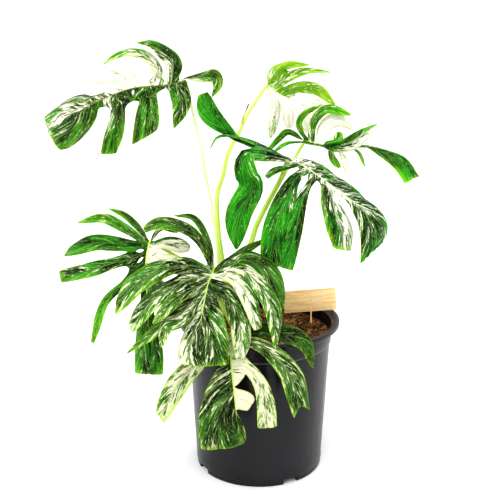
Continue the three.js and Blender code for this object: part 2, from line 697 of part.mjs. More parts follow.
// Joins two neighbours by a web as deep as the first one's sinus, and leaves its hole open
function joinNeighbours(first, second) {
  const { sinus, hole } = first.shape;
  const rows = BLADE.rows;
  const welded = rows.filter((share) => share <= sinus + 0.01).length - 1;
  rows.forEach((share, r) => {
    const a = first.rows[r];
    const b = second.rows[r];
    const edgeA = a[a.length - 1].clone();
    const edgeB = b[0].clone();
    const seam = edgeA.clone().lerp(edgeB, 0.5);
    if (hole && share > hole[0] && share < hole[1]) {
      const apart = b[b.length - 1].clone().sub(a[0]).normalize();
      const half = hole[2] * Math.sin((Math.PI * (share - hole[0])) / (hole[1] - hole[0]));
      pullEdge(a, true, seam.clone().addScaledVector(apart, -half));
      pullEdge(b, false, seam.clone().addScaledVector(apart, half));
      return;
    }
    const opening = THREE.MathUtils.clamp((share - rows[welded]) / BLADE.cutRound, 0, 1);
    const parting = Math.sqrt(1 - (1 - opening) ** 2);
    pullEdge(a, true, seam.clone().lerp(edgeA, parting));
    pullEdge(b, false, seam.clone().lerp(edgeB, parting));
  });
}

// Joins the last lobe of each side along a line that carries the midrib on to the apex
function joinApex(left, right, midrib) {
  const lastRow = BLADE.rows.length - 1;
  const edgeOf = (part, r) => part.rows[r][part.rows[r].length - 1];
  const end = edgeOf(left, 0).clone();
  const apex = edgeOf(left, lastRow).clone().lerp(edgeOf(right, lastRow), 0.5);
  const ahead = end.clone().addScaledVector(midrib.getTangentAt(1), end.distanceTo(apex) / 2);
  const axis = new THREE.QuadraticBezierCurve3(end, ahead, apex);
  BLADE.rows.forEach((share, r) => {
    const target = axis.getPoint(share);
    pullEdge(left.rows[r], true, target);
    pullEdge(right.rows[r], true, target);
  });
}

// Upper sheet of a leaf: shared vertices and triangles
function leafSheet(leaf) {
  const midrib = routeThrough(leaf.midrib.map(vec));
  const normalAt = normalsAlong(midrib, vec(leaf.normal), BLADE.frameSteps);
  const parts = leaf.lobes.map((shape) => ({ shape, rows: layLobe(leaf, midrib, normalAt, shape) }));
  const sides = [LEFT, RIGHT].map((side) => parts.filter((part) => part.shape.side === side));
  for (const side of sides) {
    for (let i = 0; i + 1 < side.length; i++) joinNeighbours(side[i], side[i + 1]);
  }
  joinApex(sides[0][sides[0].length - 1], sides[1][sides[1].length - 1], midrib);

  const vertices = [];
  const known = new Map();
  const indexOf = (point) => {
    const key = point.toArray().map((value) => Math.round(value * 500)).join();
    if (!known.has(key)) known.set(key, vertices.push(point) - 1);
    return known.get(key);
  };
  const faces = [];
  for (const part of parts) {
    const grid = part.rows.map((row) => row.map(indexOf));
    for (let r = 0; r + 1 < grid.length; r++) {
      for (let c = 0; c + 1 < grid[r].length; c++) {
        const [a, b, d, e] = [grid[r][c], grid[r][c + 1], grid[r + 1][c], grid[r + 1][c + 1]];
        const straight = vertices[a].distanceTo(vertices[e]) < vertices[b].distanceTo(vertices[d]);
        const pair = straight ? [[a, b, e], [a, e, d]] : [[a, b, d], [b, e, d]];
        if (part.shape.side === RIGHT) pair.forEach((triangle) => triangle.reverse());
        faces.push(...pair.filter(([i, j, k]) => i !== j && j !== k && i !== k));
      }
    }
  }
  return { vertices, faces };
}

// Gives a sheet its thickness: a copy below it, and a wall round every open edge
function thicken({ vertices, faces }) {
  const normals = vertices.map(() => new THREE.Vector3());
  for (const [a, b, c] of faces) {
    const triangle = new THREE.Triangle(vertices[a], vertices[b], vertices[c]);
    const normal = triangle.getNormal(new THREE.Vector3());
    for (const i of [a, b, c]) normals[i].add(normal);
  }
  const count = vertices.length;
  const lower = vertices.map((point, i) => (
    point.clone().addScaledVector(normals[i].normalize(), -BLADE.thickness)
  ));
  const directed = new Set(faces.flatMap(([a, b, c]) => [`${a},${b}`, `${b},${c}`, `${c},${a}`]));
  const solid = [];
  for (const [a, b, c] of faces) {
    solid.push([a, b, c], [c + count, b + count, a + count]);
    for (const [i, j] of [[a, b], [b, c], [c, a]]) {
      if (!directed.has(`${j},${i}`)) solid.push([j, i, i + count], [j, i + count, j + count]);
    }
  }
  return geometryFrom([...vertices, ...lower].map((point) => point.toArray()), solid);
}

// How much of a stalk's curve is kept so that its end just clears the blade
function seatShare(curve, radius, blade) {
  const position = blade.attributes.position;
  const index = blade.index;
  const hub = curve.getPointAt(1);
  const near = [];
  for (let i = 0; i < index.count; i += 3) {
    const corners = [0, 1, 2].map((k) => (
      new THREE.Vector3().fromBufferAttribute(position, index.getX(i + k))
    ));
    const triangle = new THREE.Triangle(...corners);
    const reach = triangle.closestPointToPoint(hub, new THREE.Vector3()).distanceTo(hub);
    if (reach < SEAT.reach * radius) near.push(triangle);
  }
  const closest = new THREE.Vector3();
  const clearAt = (share) => {
    const centre = curve.getPointAt(share);
    const along = curve.getTangentAt(share);
    const across = squareTo(new THREE.Vector3(0.3, -1, 0.1), along);
    const upward = new THREE.Vector3().crossVectors(along, across);
    for (let k = 0; k < SEAT.probes; k++) {
      const angle = (2 * Math.PI * k) / SEAT.probes;
      for (const size of SEAT.rings) {
        const point = centre.clone()
          .addScaledVector(across, size * radius * Math.cos(angle))
          .addScaledVector(upward, size * radius * Math.sin(angle));
        for (const triangle of near) {
          if (triangle.closestPointToPoint(point, closest).distanceTo(point) < SEAT.gap) return false;
        }
      }
    }
    return true;
  };
  const length = curve.getLength();
  let trimmed = SEAT.step;
  while (!clearAt(1 - trimmed / length) && trimmed < SEAT.longestTrim) trimmed += SEAT.step;
  return 1 - trimmed / length;
}

function buildStalk(stalk, blade, stemCutter) {
  const curve = routeThrough(stalk.route.map(vec));
  const radiusAt = (share) => THREE.MathUtils.lerp(stalk.base, stalk.tip, share);
  const endShare = seatShare(curve, stalk.tip, blade);
  const steps = Math.round(curve.getLength() / STALK_STEP);
  const solid = toManifold(tube(curve, radiusAt, STALK_SIDES, steps, endShare));
  return fromManifold(largestOf(solid.subtract(stemCutter)));
}

// Tag

function tagPlate() {
  const plate = new THREE.BoxGeometry(TAG.width, TAG.thickness, TAG.height);
  plate.rotateY(-degrees(TAG.tilt));
  plate.translate(...TAG.centre);
  return plate;
}

function tagStake(extra = 0) {
  const side = TAG.stakeSide + 2 * extra;
  const length = TAG.stakeTop - TAG.stakeBottom + 2 * extra;
  const stake = new THREE.BoxGeometry(side, side, length);
  const inFront = TAG.centre[1] - TAG.thickness / 2 - GAP - TAG.stakeSide / 2;
  stake.translate(TAG.stakeX, inFront, (TAG.stakeTop + TAG.stakeBottom) / 2);
  return stake;
}

// Assembly

function piece(name, geometry, colour, roughness) {
  const material = new THREE.MeshStandardMaterial({ color: colour, roughness, metalness: 0 });
  const mesh = new THREE.Mesh(geometry, material);
  mesh.name = name;
  return mesh;
}

const plant = new THREE.Group();
plant.add(piece('pot', buildPot(), COLOUR.pot, 0.45));
plant.add(piece('soil', buildSoil([buildStem(GAP), tagStake(GAP)]), COLOUR.soil, 0.95));
plant.add(piece('main_stem', buildStem(), COLOUR.stem, 0.6));
plant.add(piece('tag_plate', tagPlate(), COLOUR.tag, 0.65));
plant.add(piece('tag_stake', tagStake(), COLOUR.tag, 0.65));

const stemCutter = toManifold(buildStem(GAP));
for (const leaf of LEAVES) {
  const blade = thicken(leafSheet(leaf));
  const stalk = STALKS.find((candidate) => candidate.leaf === leaf.name);
  plant.add(piece(`leaf_${leaf.name}`, blade, leaf.colour, 0.4));
  plant.add(piece(`stalk_${leaf.name}`, buildStalk(stalk, blade, stemCutter), stalk.colour, 0.45));
}

export default plant;
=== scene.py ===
"""A potted variegated monstera: seven split leaves on their stalks, a short leaning stem, potting mix,
a round pot and a bare wooden tag on a stake.

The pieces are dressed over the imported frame, in its own place. Leaf, stalk and pot sizes repeat those of
the part's source in millimetres and become metres when a mesh is laid.
"""

import logging
import math
import random
from dataclasses import dataclass, replace
from enum import Enum, IntEnum

import bmesh
import bpy
import numpy as np
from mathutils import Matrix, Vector, noise

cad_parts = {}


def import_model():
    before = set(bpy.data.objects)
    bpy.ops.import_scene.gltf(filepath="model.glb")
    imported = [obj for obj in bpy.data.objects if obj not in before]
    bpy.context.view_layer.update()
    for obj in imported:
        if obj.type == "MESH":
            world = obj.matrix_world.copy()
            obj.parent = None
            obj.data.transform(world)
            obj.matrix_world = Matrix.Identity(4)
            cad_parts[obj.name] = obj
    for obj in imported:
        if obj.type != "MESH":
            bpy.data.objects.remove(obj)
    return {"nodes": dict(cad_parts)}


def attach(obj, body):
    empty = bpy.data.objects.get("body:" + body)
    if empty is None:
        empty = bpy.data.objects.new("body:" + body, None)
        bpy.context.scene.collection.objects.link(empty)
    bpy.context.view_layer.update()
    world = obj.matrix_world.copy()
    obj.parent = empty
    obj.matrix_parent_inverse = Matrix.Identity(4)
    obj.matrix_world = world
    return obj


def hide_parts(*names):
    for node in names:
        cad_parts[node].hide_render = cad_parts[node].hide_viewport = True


LOG = logging.getLogger("monstera")
MM = 0.001
Point = tuple[float, float, float]
Colour = tuple[float, float, float]
Ring = tuple[float, float]


class Side(IntEnum):
    """Which side of the midrib a lobe springs from, seen from above with the apex ahead."""

    LEFT = 1
    RIGHT = -1


class Tone(Enum):
    """The two colours that the stalks come in."""

    LIME = "stalk"
    PALE = "stalk_pale"


def smooth(x: np.ndarray | float) -> np.ndarray | float:
    """Gives the smooth step from 0 to 1 of x, held outside that range."""
    t = np.clip(x, 0.0, 1.0)
    return t * t * (3.0 - 2.0 * t)


def linear(hex_colour: int) -> Colour:
    """Turns a screen colour into the linear values that a shader takes.

    Args:
        hex_colour: the colour as 0xRRGGBB.

    Returns:
        Red, green and blue from 0 to 1.
    """
    parts = [((hex_colour >> shift) & 255) / 255 for shift in (16, 8, 0)]
    return tuple(c / 12.92 if c <= 0.04045 else ((c + 0.055) / 1.055) ** 2.4 for c in parts)


class Route:
    """A smooth curve through its points, read by its share of the length."""

    SAMPLES = 200

    def __init__(self, points: list[Point]) -> None:
        """Lays the curve.

        Args:
            points: the points that it passes, in millimetres.
        """
        p = np.array(points, float)
        self._p = np.vstack([2 * p[0] - p[1], p, 2 * p[-1] - p[-2]])
        self._spans = len(points) - 1
        self._t = np.linspace(0, 1, self.SAMPLES + 1)
        steps = np.linalg.norm(np.diff(self._raw(self._t), axis=0), axis=1)
        self._reach = np.concatenate([[0], np.cumsum(steps)])
        self.length = float(self._reach[-1])

    def _raw(self, t: np.ndarray) -> np.ndarray:
        """Gives the points at raw parameters from 0 to 1.

        Args:
            t: the parameters.

        Returns:
            The points, in millimetres.
        """
        place = np.clip(np.asarray(t, float), 0, 1) * self._spans
        i = np.minimum(place.astype(int), self._spans - 1)
        w = (place - i)[..., None]
        p0, p1, p2, p3 = (self._p[i + k] for k in range(4))
        v1, v2 = (p2 - p0) / 2, (p3 - p1) / 2
        return p1 + v1 * w + (3 * (p2 - p1) - 2 * v1 - v2) * w**2 + (2 * (p1 - p2) + v1 + v2) * w**3

    def _raw_share(self, share: np.ndarray) -> np.ndarray:
        """Turns shares of the length into raw parameters."""
        return np.interp(np.asarray(share, float) * self.length, self._reach, self._t)

    def at(self, share: np.ndarray | float) -> np.ndarray:
        """Gives the points at shares of the length."""
        return self._raw(self._raw_share(share))

    def along(self, share: np.ndarray | float) -> np.ndarray:
        """Gives the unit directions at shares of the length.

        Args:
            share: the shares.

        Returns:
            The unit directions.
        """
        t = self._raw_share(share)
        step = self._raw(np.minimum(t + 1e-4, 1)) - self._raw(np.maximum(t - 1e-4, 0))
        return unit(step)

    def square(self, start: np.ndarray, share: np.ndarray | float, steps: int = 60) -> np.ndarray:
        """Carries a direction along the curve without turning it about the curve.

        Args:
            start: the direction at the start.
            share: the shares of the length to read it at.
            steps: how many steps carry it.

        Returns:
            Unit directions square to the curve.
        """
        shares = np.linspace(0, 1, steps + 1)
        frames = [squared(start, self.along(0.0))]
        for tangent in self.along(shares[1:]):
            frames.append(squared(frames[-1], tangent))
        frames = np.array(frames)
        share = np.asarray(share, float)
        read = np.stack([np.interp(share, shares, frames[:, axis]) for axis in range(3)], axis=-1)
        return unit(read)


def unit(v: np.ndarray) -> np.ndarray:
    """Gives vectors at unit length."""
    v = np.asarray(v, float)
    return v / np.maximum(np.linalg.norm(v, axis=-1, keepdims=True), 1e-12)


def squared(v: np.ndarray, direction: np.ndarray) -> np.ndarray:
    """Gives what is left of v square to a unit direction, at unit length."""
    return unit(v - np.dot(v, direction) * direction)


class Bench:
    """The modelling steps that every piece shares, taken with the operators that a hand would use."""

    @staticmethod
    def clear() -> None:
        """Leaves edit mode and deselects everything."""
        if bpy.context.object and bpy.context.object.mode != "OBJECT":
            bpy.ops.object.mode_set(mode="OBJECT")
        bpy.ops.object.select_all(action="DESELECT")

    @staticmethod
    def hold(*pieces: bpy.types.Object) -> None:
        """Selects only these pieces, the first one active.

        Args:
            *pieces: the pieces.
        """
        Bench.clear()
        for piece in pieces:
            piece.select_set(True)
        bpy.context.view_layer.objects.active = pieces[0]

    @staticmethod
    def named(name: str) -> bpy.types.Object:
        """Names the piece just added, and its mesh.

        Args:
            name: the piece's name.

        Returns:
            The piece.
        """
        piece = bpy.context.object
        piece.name = piece.data.name = name
        return piece

    @staticmethod
    def settle(piece: bpy.types.Object) -> None:
        """Moves the piece's place into its mesh, so that its object sits at the origin."""
        Bench.hold(piece)
        bpy.ops.object.transform_apply(location=True, rotation=True, scale=True)

    @staticmethod
    def weld(piece: bpy.types.Object, distance: float, recalculate: bool = True) -> None:
        """Merges the doubles of a piece, and turns its faces outwards.

        Args:
            piece: the piece.
            distance: how near two points are one, in metres.
            recalculate: whether the faces are turned outwards.
        """
        Bench.hold(piece)
        bpy.ops.object.mode_set(mode="EDIT")
        bpy.ops.mesh.select_all(action="SELECT")
        bpy.ops.mesh.remove_doubles(threshold=distance)
        if recalculate:
            bpy.ops.mesh.normals_make_consistent(inside=False)
        bpy.ops.object.mode_set(mode="OBJECT")

    @staticmethod
    def modify(piece: bpy.types.Object, kind: str, **settings: object) -> None:
        """Adds a modifier to the piece and applies it.

        Args:
            piece: the piece.
            kind: the modifier's type.
            **settings: its settings.
        """
        Bench.hold(piece)
        modifier = piece.modifiers.new(kind.lower(), kind)
        for key, value in settings.items():
            setattr(modifier, key, value)
        bpy.ops.object.modifier_apply(modifier=modifier.name)

    @staticmethod
    def join(pieces: list[bpy.types.Object], name: str) -> bpy.types.Object:
        """Joins pieces into one.

        Args:
            pieces: the pieces, the first of which takes in the rest.
            name: the name of the result.

        Returns:
            The joined piece.
        """
        Bench.hold(*pieces)
        if len(pieces) > 1:
            bpy.ops.object.join()
        return Bench.named(name)

    @staticmethod
    def soften(piece: bpy.types.Object, degrees: float = 30.0) -> None:
        """Shades the piece smooth up to an angle between its faces."""
        Bench.hold(piece)
        bpy.ops.object.shade_smooth_by_angle(angle=math.radians(degrees))

    @staticmethod
    def points(piece: bpy.types.Object) -> np.ndarray:
        """Gives the piece's points as rows of x, y and z.

        Args:
            piece: the piece.

        Returns:
            The points, in metres.
        """
        flat = np.empty(len(piece.data.vertices) * 3)
        piece.data.vertices.foreach_get("co", flat)
        return flat.reshape(-1, 3)

    @staticmethod
    def place(piece: bpy.types.Object, points: np.ndarray) -> None:
        """Moves the piece's points, given as rows of x, y and z."""
        piece.data.vertices.foreach_set("co", np.asarray(points, float).ravel())
        piece.data.update()

    @staticmethod
    def corners(mesh: bpy.types.Mesh) -> np.ndarray:
        """Finds the point at each corner of each face.

        Args:
            mesh: the mesh.

        Returns:
            The number of the point at each corner.
        """
        corner = np.empty(len(mesh.loops), int)
        mesh.loops.foreach_get("vertex_index", corner)
        return corner

    @staticmethod
    def lay_maps(mesh: bpy.types.Mesh, maps: dict[str, np.ndarray]) -> None:
        """Gives the mesh new UV maps in place of those that it was added with.

        Args:
            mesh: the mesh.
            maps: the pair at each corner, by the map's name.
        """
        while mesh.uv_layers:
            mesh.uv_layers.remove(mesh.uv_layers[0])
        for name, pairs in maps.items():
            mesh.uv_layers.new(name=name).data.foreach_set("uv", pairs.ravel())

    @staticmethod
    def lathe(piece: bpy.types.Object, outline: list[Ring], start: Ring, under: bool = False) -> None:
        """Grows an end face of an upright round piece through an outline, by extruding and resizing it.

        Args:
            piece: the piece.
            outline: the radius and height of each ring, in millimetres.
            start: the radius and height of the face to begin with.
            under: whether the lowest face is carried along, and not the highest.
        """
        Bench.hold(piece)
        bpy.ops.object.mode_set(mode="EDIT")
        bpy.ops.mesh.select_mode(type="FACE")
        bpy.ops.mesh.select_all(action="DESELECT")
        mesh = bmesh.from_edit_mesh(piece.data)
        way = -1 if under else 1
        max(mesh.faces, key=lambda face: (way * face.calc_center_median().z, len(face.verts))).select = True
        bmesh.update_edit_mesh(piece.data)
        radius, height = start
        for next_radius, next_height in outline:
            rise = (next_height - height) * MM
            size = next_radius / radius
            bpy.ops.mesh.extrude_region_move(TRANSFORM_OT_translate={"value": (0, 0, rise)})
            bpy.ops.transform.resize(value=(size, size, 1), center_override=(0, 0, next_height * MM))
            radius, height = next_radius, next_height
        bpy.ops.object.mode_set(mode="OBJECT")


class Shader:
    """Builds one node material step by step."""

    def __init__(self, name: str, **surface: object) -> None:
        """Starts the material.

        Args:
            name: the material's name.
            **surface: values for the surface's own sockets, by name with underscores.
        """
        self.material = bpy.data.materials.new(name)
        self.material.use_nodes = True
        self.nodes = self.material.node_tree.nodes
        self.surface = self.nodes["Principled BSDF"]
        for key, value in surface.items():
            self.surface.inputs[key.replace("_", " ")].default_value = value

    def node(self, kind: str, **settings: object) -> bpy.types.Node:
        """Adds a node with settings of its own.

        Args:
            kind: its type, without the common beginning.
            **settings: its settings.

        Returns:
            The node.
        """
        node = self.nodes.new("ShaderNode" + kind)
        for key, value in settings.items():
            setattr(node, key, value)
        return node

    def feed(self, socket: bpy.types.NodeSocket, value: object) -> None:
        """Links a socket to another, or sets it to a number or a colour.

        Args:
            socket: the socket.
            value: another socket, a number or a colour.
        """
        if isinstance(value, bpy.types.NodeSocket):
            self.material.node_tree.links.new(value, socket)
        elif isinstance(value, tuple) and len(value) == 3 and socket.type == "RGBA":
            socket.default_value = (*value, 1.0)
        else:
            socket.default_value = value

    def ends(self, **surface: object) -> bpy.types.Material:
        """Feeds the surface's sockets.

        Args:
            **surface: the values, by socket name with underscores.

        Returns:
            The material.
        """
        for key, value in surface.items():
            self.feed(self.surface.inputs[key.replace("_", " ")], value)
        return self.material

    def uv(self, name: str) -> bpy.types.NodeSocket:
        """Reads a UV map."""
        return self.node("UVMap", uv_map=name).outputs["UV"]

    def own(self) -> bpy.types.NodeSocket:
        """Reads the piece's own coordinates, in metres."""
        return self.node("TexCoord").outputs["Object"]

    def attribute(self, name: str) -> list[bpy.types.NodeSocket]:
        """Reads the three parts of a colour attribute.

        Args:
            name: the attribute's name.

        Returns:
            Its red, green and blue.
        """
        split = self.node("SeparateColor")
        self.feed(split.inputs[0], self.node("Attribute", attribute_name=name).outputs["Color"])
        return list(split.outputs)

    def scaled(self, vector: bpy.types.NodeSocket, size: Point,
               shift: Point = (0, 0, 0)) -> bpy.types.NodeSocket:
        """Scales and shifts coordinates.

        Args:
            vector: the coordinates.
            size: the factor on each axis.
            shift: what is added on each axis.

        Returns:
            The new coordinates.
        """
        mapping = self.node("Mapping")
        self.feed(mapping.inputs["Vector"], vector)
        mapping.inputs["Scale"].default_value = size
        mapping.inputs["Location"].default_value = shift
        return mapping.outputs["Vector"]

    def noise(self, vector: bpy.types.NodeSocket, scale: float, detail: float = 3.0, rough: float = 0.55,
              twist: float = 0.0) -> bpy.types.NodeSocket:
        """Reads cloudy noise.

        Args:
            vector: where it is read.
            scale: how fine it is.
            detail: how many finer layers it has.
            rough: how strong those are.
            twist: how far it is distorted.

        Returns:
            The value from 0 to 1, mostly near 0.5.
        """
        node = self.node("TexNoise")
        for key, value in {"Vector": vector, "Scale": scale, "Detail": detail, "Roughness": rough,
                           "Distortion": twist}.items():
            self.feed(node.inputs[key], value)
        return node.outputs[0]

    def cells(self, vector: bpy.types.NodeSocket, scale: float) -> bpy.types.NodeSocket:
        """Reads the distance in a field of scattered cells.

        Args:
            vector: where it is read.
            scale: how fine the cells are.

        Returns:
            The distance to the nearest cell's middle.
        """
        node = self.node("TexVoronoi")
        self.feed(node.inputs["Vector"], vector)
        node.inputs["Scale"].default_value = scale
        return node.outputs["Distance"]

    def maths(self, operation: str, *values: object) -> bpy.types.NodeSocket:
        """Works out one operation on numbers or sockets.

        Args:
            operation: its name.
            *values: what it works on.

        Returns:
            The result.
        """
        node = self.node("Math", operation=operation)
        for socket, value in zip(node.inputs, values):
            self.feed(socket, value)
        return node.outputs[0]

    def span(self, value: bpy.types.NodeSocket, low: float, high: float,
             to: tuple[float, float] = (0.0, 1.0)) -> bpy.types.NodeSocket:
        """Carries a value from one range to another, smoothly and held at the ends.

        Args:
            value: the value.
            low: where the range starts.
            high: where the range ends.
            to: the values at both ends.

        Returns:
            The carried value.
        """
        node = self.node("MapRange", interpolation_type="SMOOTHSTEP")
        for key, number in {"Value": value, "From Min": low, "From Max": high, "To Min": to[0],
                            "To Max": to[1]}.items():
            self.feed(node.inputs[key], number)
        return node.outputs[0]

    def part(self, value: bpy.types.NodeSocket, low: float, high: float,
             most: float) -> bpy.types.NodeSocket:
        """Carries a value from the range of low to high to that of 0 to most."""
        return self.maths("MULTIPLY", self.span(value, low, high), most)

    def axes(self, vector: bpy.types.NodeSocket) -> list[bpy.types.NodeSocket]:
        """Splits coordinates.

        Args:
            vector: the coordinates.

        Returns:
            Their x, y and z.
        """
        split = self.node("SeparateXYZ")
        self.feed(split.inputs[0], vector)
        return list(split.outputs)

    def blend(self, share: object, first: object, second: object) -> bpy.types.NodeSocket:
        """Mixes two colours.

        Args:
            share: how much of the second one is taken.
            first: the first colour.
            second: the second colour.

        Returns:
            The mixed colour.
        """
        node = self.node("Mix", data_type="RGBA", clamp_factor=True)
        self.feed(node.inputs[0], share)
        self.feed(node.inputs[6], first)
        self.feed(node.inputs[7], second)
        return node.outputs[2]

    def bump(self, height: bpy.types.NodeSocket, depth: float, strength: float) -> bpy.types.NodeSocket:
        """Turns a height into a relief.

        Args:
            height: the height from 0 to 1.
            depth: how deep it is, in metres.
            strength: how much of it shows.

        Returns:
            The bent normal.
        """
        node = self.node("Bump")
        self.feed(node.inputs["Height"], height)
        node.inputs["Distance"].default_value = depth
        node.inputs["Strength"].default_value = strength
        return node.outputs[0]


@dataclass(frozen=True)
class LeafFinish:
    """The marbled face of a blade: green with cream drawn out along the veins."""

    dark: Colour = linear(0x14390B)
    mid: Colour = linear(0x2C7015)
    bright: Colour = linear(0x5CAE28)
    sage: Colour = linear(0x86A55E)
    fleck: Colour = linear(0xAFCA70)
    cream: Colour = linear(0xEAE7D6)
    lime: Colour = linear(0x9CCB1E)
    vein: Colour = linear(0xB9CF72)
    rim: Colour = linear(0xB9B57C)
    roughness: float = 0.34
    brown: Colour = linear(0x6B4526)
    seed: float = 0.0
    pale: float = 0.0
    spot: Point = (0, 0, 0)
    spot_size: float = 0.0
    fine_grain: Point = (0.6, 0.06, 1)
    broad_grain: Point = (0.2, 0.03, 1)
    fleck_grain: Point = (0.95, 0.17, 1)
    line_grain: Point = (0.7, 0.02, 1)
    shade_grain: Point = (0.05, 0.016, 1)
    even: float = 2.35

    def material(self, name: str) -> bpy.types.Material:
        """Builds the finish.

        Args:
            name: the material's name.

        Returns:
            The material, which reads the maps `streak` and `place` and the attribute `tint`.
        """
        s = Shader(name, Specular_IOR_Level=0.16)
        streak = s.uv("streak")
        fine = s.noise(s.scaled(streak, self.fine_grain, (self.seed, self.seed, 0)), 1.0, 4, 0.65, 0.35)
        broad = s.noise(s.scaled(streak, self.broad_grain, (-self.seed, self.seed, 3)), 1.0, 3, 0.6, 0.5)
        fleck = s.noise(s.scaled(streak, self.fleck_grain, (self.seed, 0, 7)), 1.0, 2, 0.6, 0.2)
        lines = s.noise(s.scaled(streak, self.line_grain, (0, -self.seed, 19)), 1.0, 2, 0.6, 0.15)
        shade = s.noise(s.scaled(streak, self.shade_grain, (0, self.seed, 11)), 1.0, 3, 0.55)
        place_across, place_along = s.axes(s.uv("place"))[:2]
        shade = s.maths("ADD", shade, s.span(place_along, 10, 110, (-0.05, 0.09)))
        cream, lime, margin = s.attribute("tint")
        level = s.maths("ADD", s.maths("MULTIPLY", fine, 1.1), s.maths("MULTIPLY", broad, 1.7))
        level = s.maths("ADD", level, s.maths("MULTIPLY", fleck, 0.7))
        level = s.maths("ADD", s.maths("SUBTRACT", level, self.even), cream)
        white = s.span(level, 0.08, 0.16)
        half = s.span(level, -0.12, 0.08)
        green = s.blend(s.span(shade, 0.43, 0.65), self.dark, self.mid)
        green = s.blend(s.part(lines, 0.52, 0.66, 0.3), green, self.bright)
        green = s.blend(s.part(lines, 0.5, 0.36, 0.4), green, self.dark)
        green = s.blend(s.part(fleck, 0.62, 0.68, 0.7), green, self.fleck)
        face = s.blend(s.maths("MULTIPLY", half, 0.5), green, self.sage)
        beige = s.maths("MULTIPLY", s.span(margin, 0.16, 0.02), s.span(broad, 0.4, 0.55, (0.25, 0.9)))
        face = s.blend(white, face, s.blend(beige, self.cream, self.rim))
        near = s.span(s.maths("ADD", margin, s.maths("MULTIPLY", fine, 0.4)), 0.6, 0.16)
        near = s.maths("MULTIPLY", near, s.span(broad, 0.38, 0.6, (0.25, 1.0)))
        face = s.blend(s.maths("MULTIPLY", s.maths("MULTIPLY", near, lime), 0.9), face, self.lime)
        vein = s.span(s.maths("ABSOLUTE", place_across), 0.55, 0.2)
        rib = s.span(place_along, 1.9, 0.9)
        face = s.blend(s.maths("MULTIPLY", vein, 0.14), face, self.vein)
        face = s.blend(s.maths("MULTIPLY", rib, 0.8), face, self.vein)
        edge = s.maths("MULTIPLY", s.span(margin, 0.04, 0.015), s.span(broad, 0.45, 0.6, (0.1, 0.5)))
        face = s.blend(edge, face, self.lime)
        face = s.blend(self.pale, face, self.sage)
        if self.spot_size:
            apart = s.node("VectorMath", operation="DISTANCE")
            s.feed(apart.inputs[0], s.own())
            apart.inputs[1].default_value = tuple(c * MM for c in self.spot)
            reach = s.maths("ADD", apart.outputs["Value"], s.maths("MULTIPLY", fleck, 0.006))
            size = self.spot_size * MM + 0.003
            face = s.blend(s.span(reach, size * 1.15, size * 0.85), face, self.brown)
        rough = s.span(fleck, 0.3, 0.7, (self.roughness - 0.05, self.roughness + 0.08))
        relief = s.maths("ADD", fine, s.maths("MULTIPLY", vein, -0.6))
        return s.ends(Base_Color=face, Roughness=rough, Normal=s.bump(relief, 0.0004, 0.35))


@dataclass(frozen=True)
class StalkFinish:
    """Smooth juicy stalk with fine lengthwise streaks."""

    body: Colour
    streak: Colour
    deep: Colour
    roughness: float = 0.38

    def material(self, name: str) -> bpy.types.Material:
        """Builds the finish, which reads the map `streak`.

        Args:
            name: the material's name.

        Returns:
            The material.
        """
        s = Shader(name, Specular_IOR_Level=0.5)
        place = s.uv("streak")
        lines = s.noise(s.scaled(place, (1.1, 0.02, 1)), 1.0, 3, 0.6)
        clouds = s.noise(s.scaled(place, (0.3, 0.02, 1), (5, 2, 0)), 1.0, 2, 0.5)
        colour = s.blend(s.span(lines, 0.42, 0.62), self.body, self.streak)
        colour = s.blend(s.part(clouds, 0.5, 0.7, 0.6), colour, self.deep)
        rough = s.span(lines, 0.3, 0.7, (self.roughness, self.roughness + 0.12))
        return s.ends(Base_Color=colour, Roughness=rough, Normal=s.bump(lines, 0.0003, 0.3))


@dataclass(frozen=True)
class DryFinish:
    """Withered tissue that turns from its pale foot to a dark tip."""

    foot: Colour
    tip: Colour
    length: float
    roughness: float = 0.7

    def material(self, name: str) -> bpy.types.Material:
        """Builds the finish, which reads the map `streak`.

        Args:
            name: the material's name.

        Returns:
            The material.
        """
        s = Shader(name, Specular_IOR_Level=0.2)
        place = s.uv("streak")
        lines = s.noise(s.scaled(place, (2.2, 0.3, 1)), 1.0, 3, 0.6)
        share = s.maths("ADD", s.axes(place)[1], s.maths("MULTIPLY", lines, self.length * 0.3))
        colour = s.blend(s.span(share, self.length * 0.6, self.length), self.foot, self.tip)
        rough = s.span(lines, 0.3, 0.7, (self.roughness - 0.1, self.roughness + 0.1))
        return s.ends(Base_Color=colour, Roughness=rough, Normal=s.bump(lines, 0.0003, 0.5))


@dataclass(frozen=True)
class StemFinish:
    """Old stem: green under a dry brown skin, with rings at the leaf scars."""

    green: Colour = linear(0x6F8F2C)
    bark: Colour = linear(0x7A6436)
    scar: Colour = linear(0x3B2E1A)
    roughness: float = 0.6

    def material(self, name: str) -> bpy.types.Material:
        """Builds the finish.

        Args:
            name: the material's name.

        Returns:
            The material.
        """
        s = Shader(name, Specular_IOR_Level=0.4)
        own = s.own()
        skin = s.noise(own, 120, 4, 0.6)
        patch = s.noise(s.scaled(own, (1, 1, 0.5)), 45, 3, 0.6)
        colour = s.blend(s.span(patch, 0.42, 0.6), self.green, self.bark)
        colour = s.blend(s.part(skin, 0.55, 0.75, 0.7), colour, self.scar)
        rough = s.span(skin, 0.3, 0.7, (self.roughness, self.roughness + 0.2))
        return s.ends(Base_Color=colour, Roughness=rough, Normal=s.bump(skin, 0.001, 0.5))


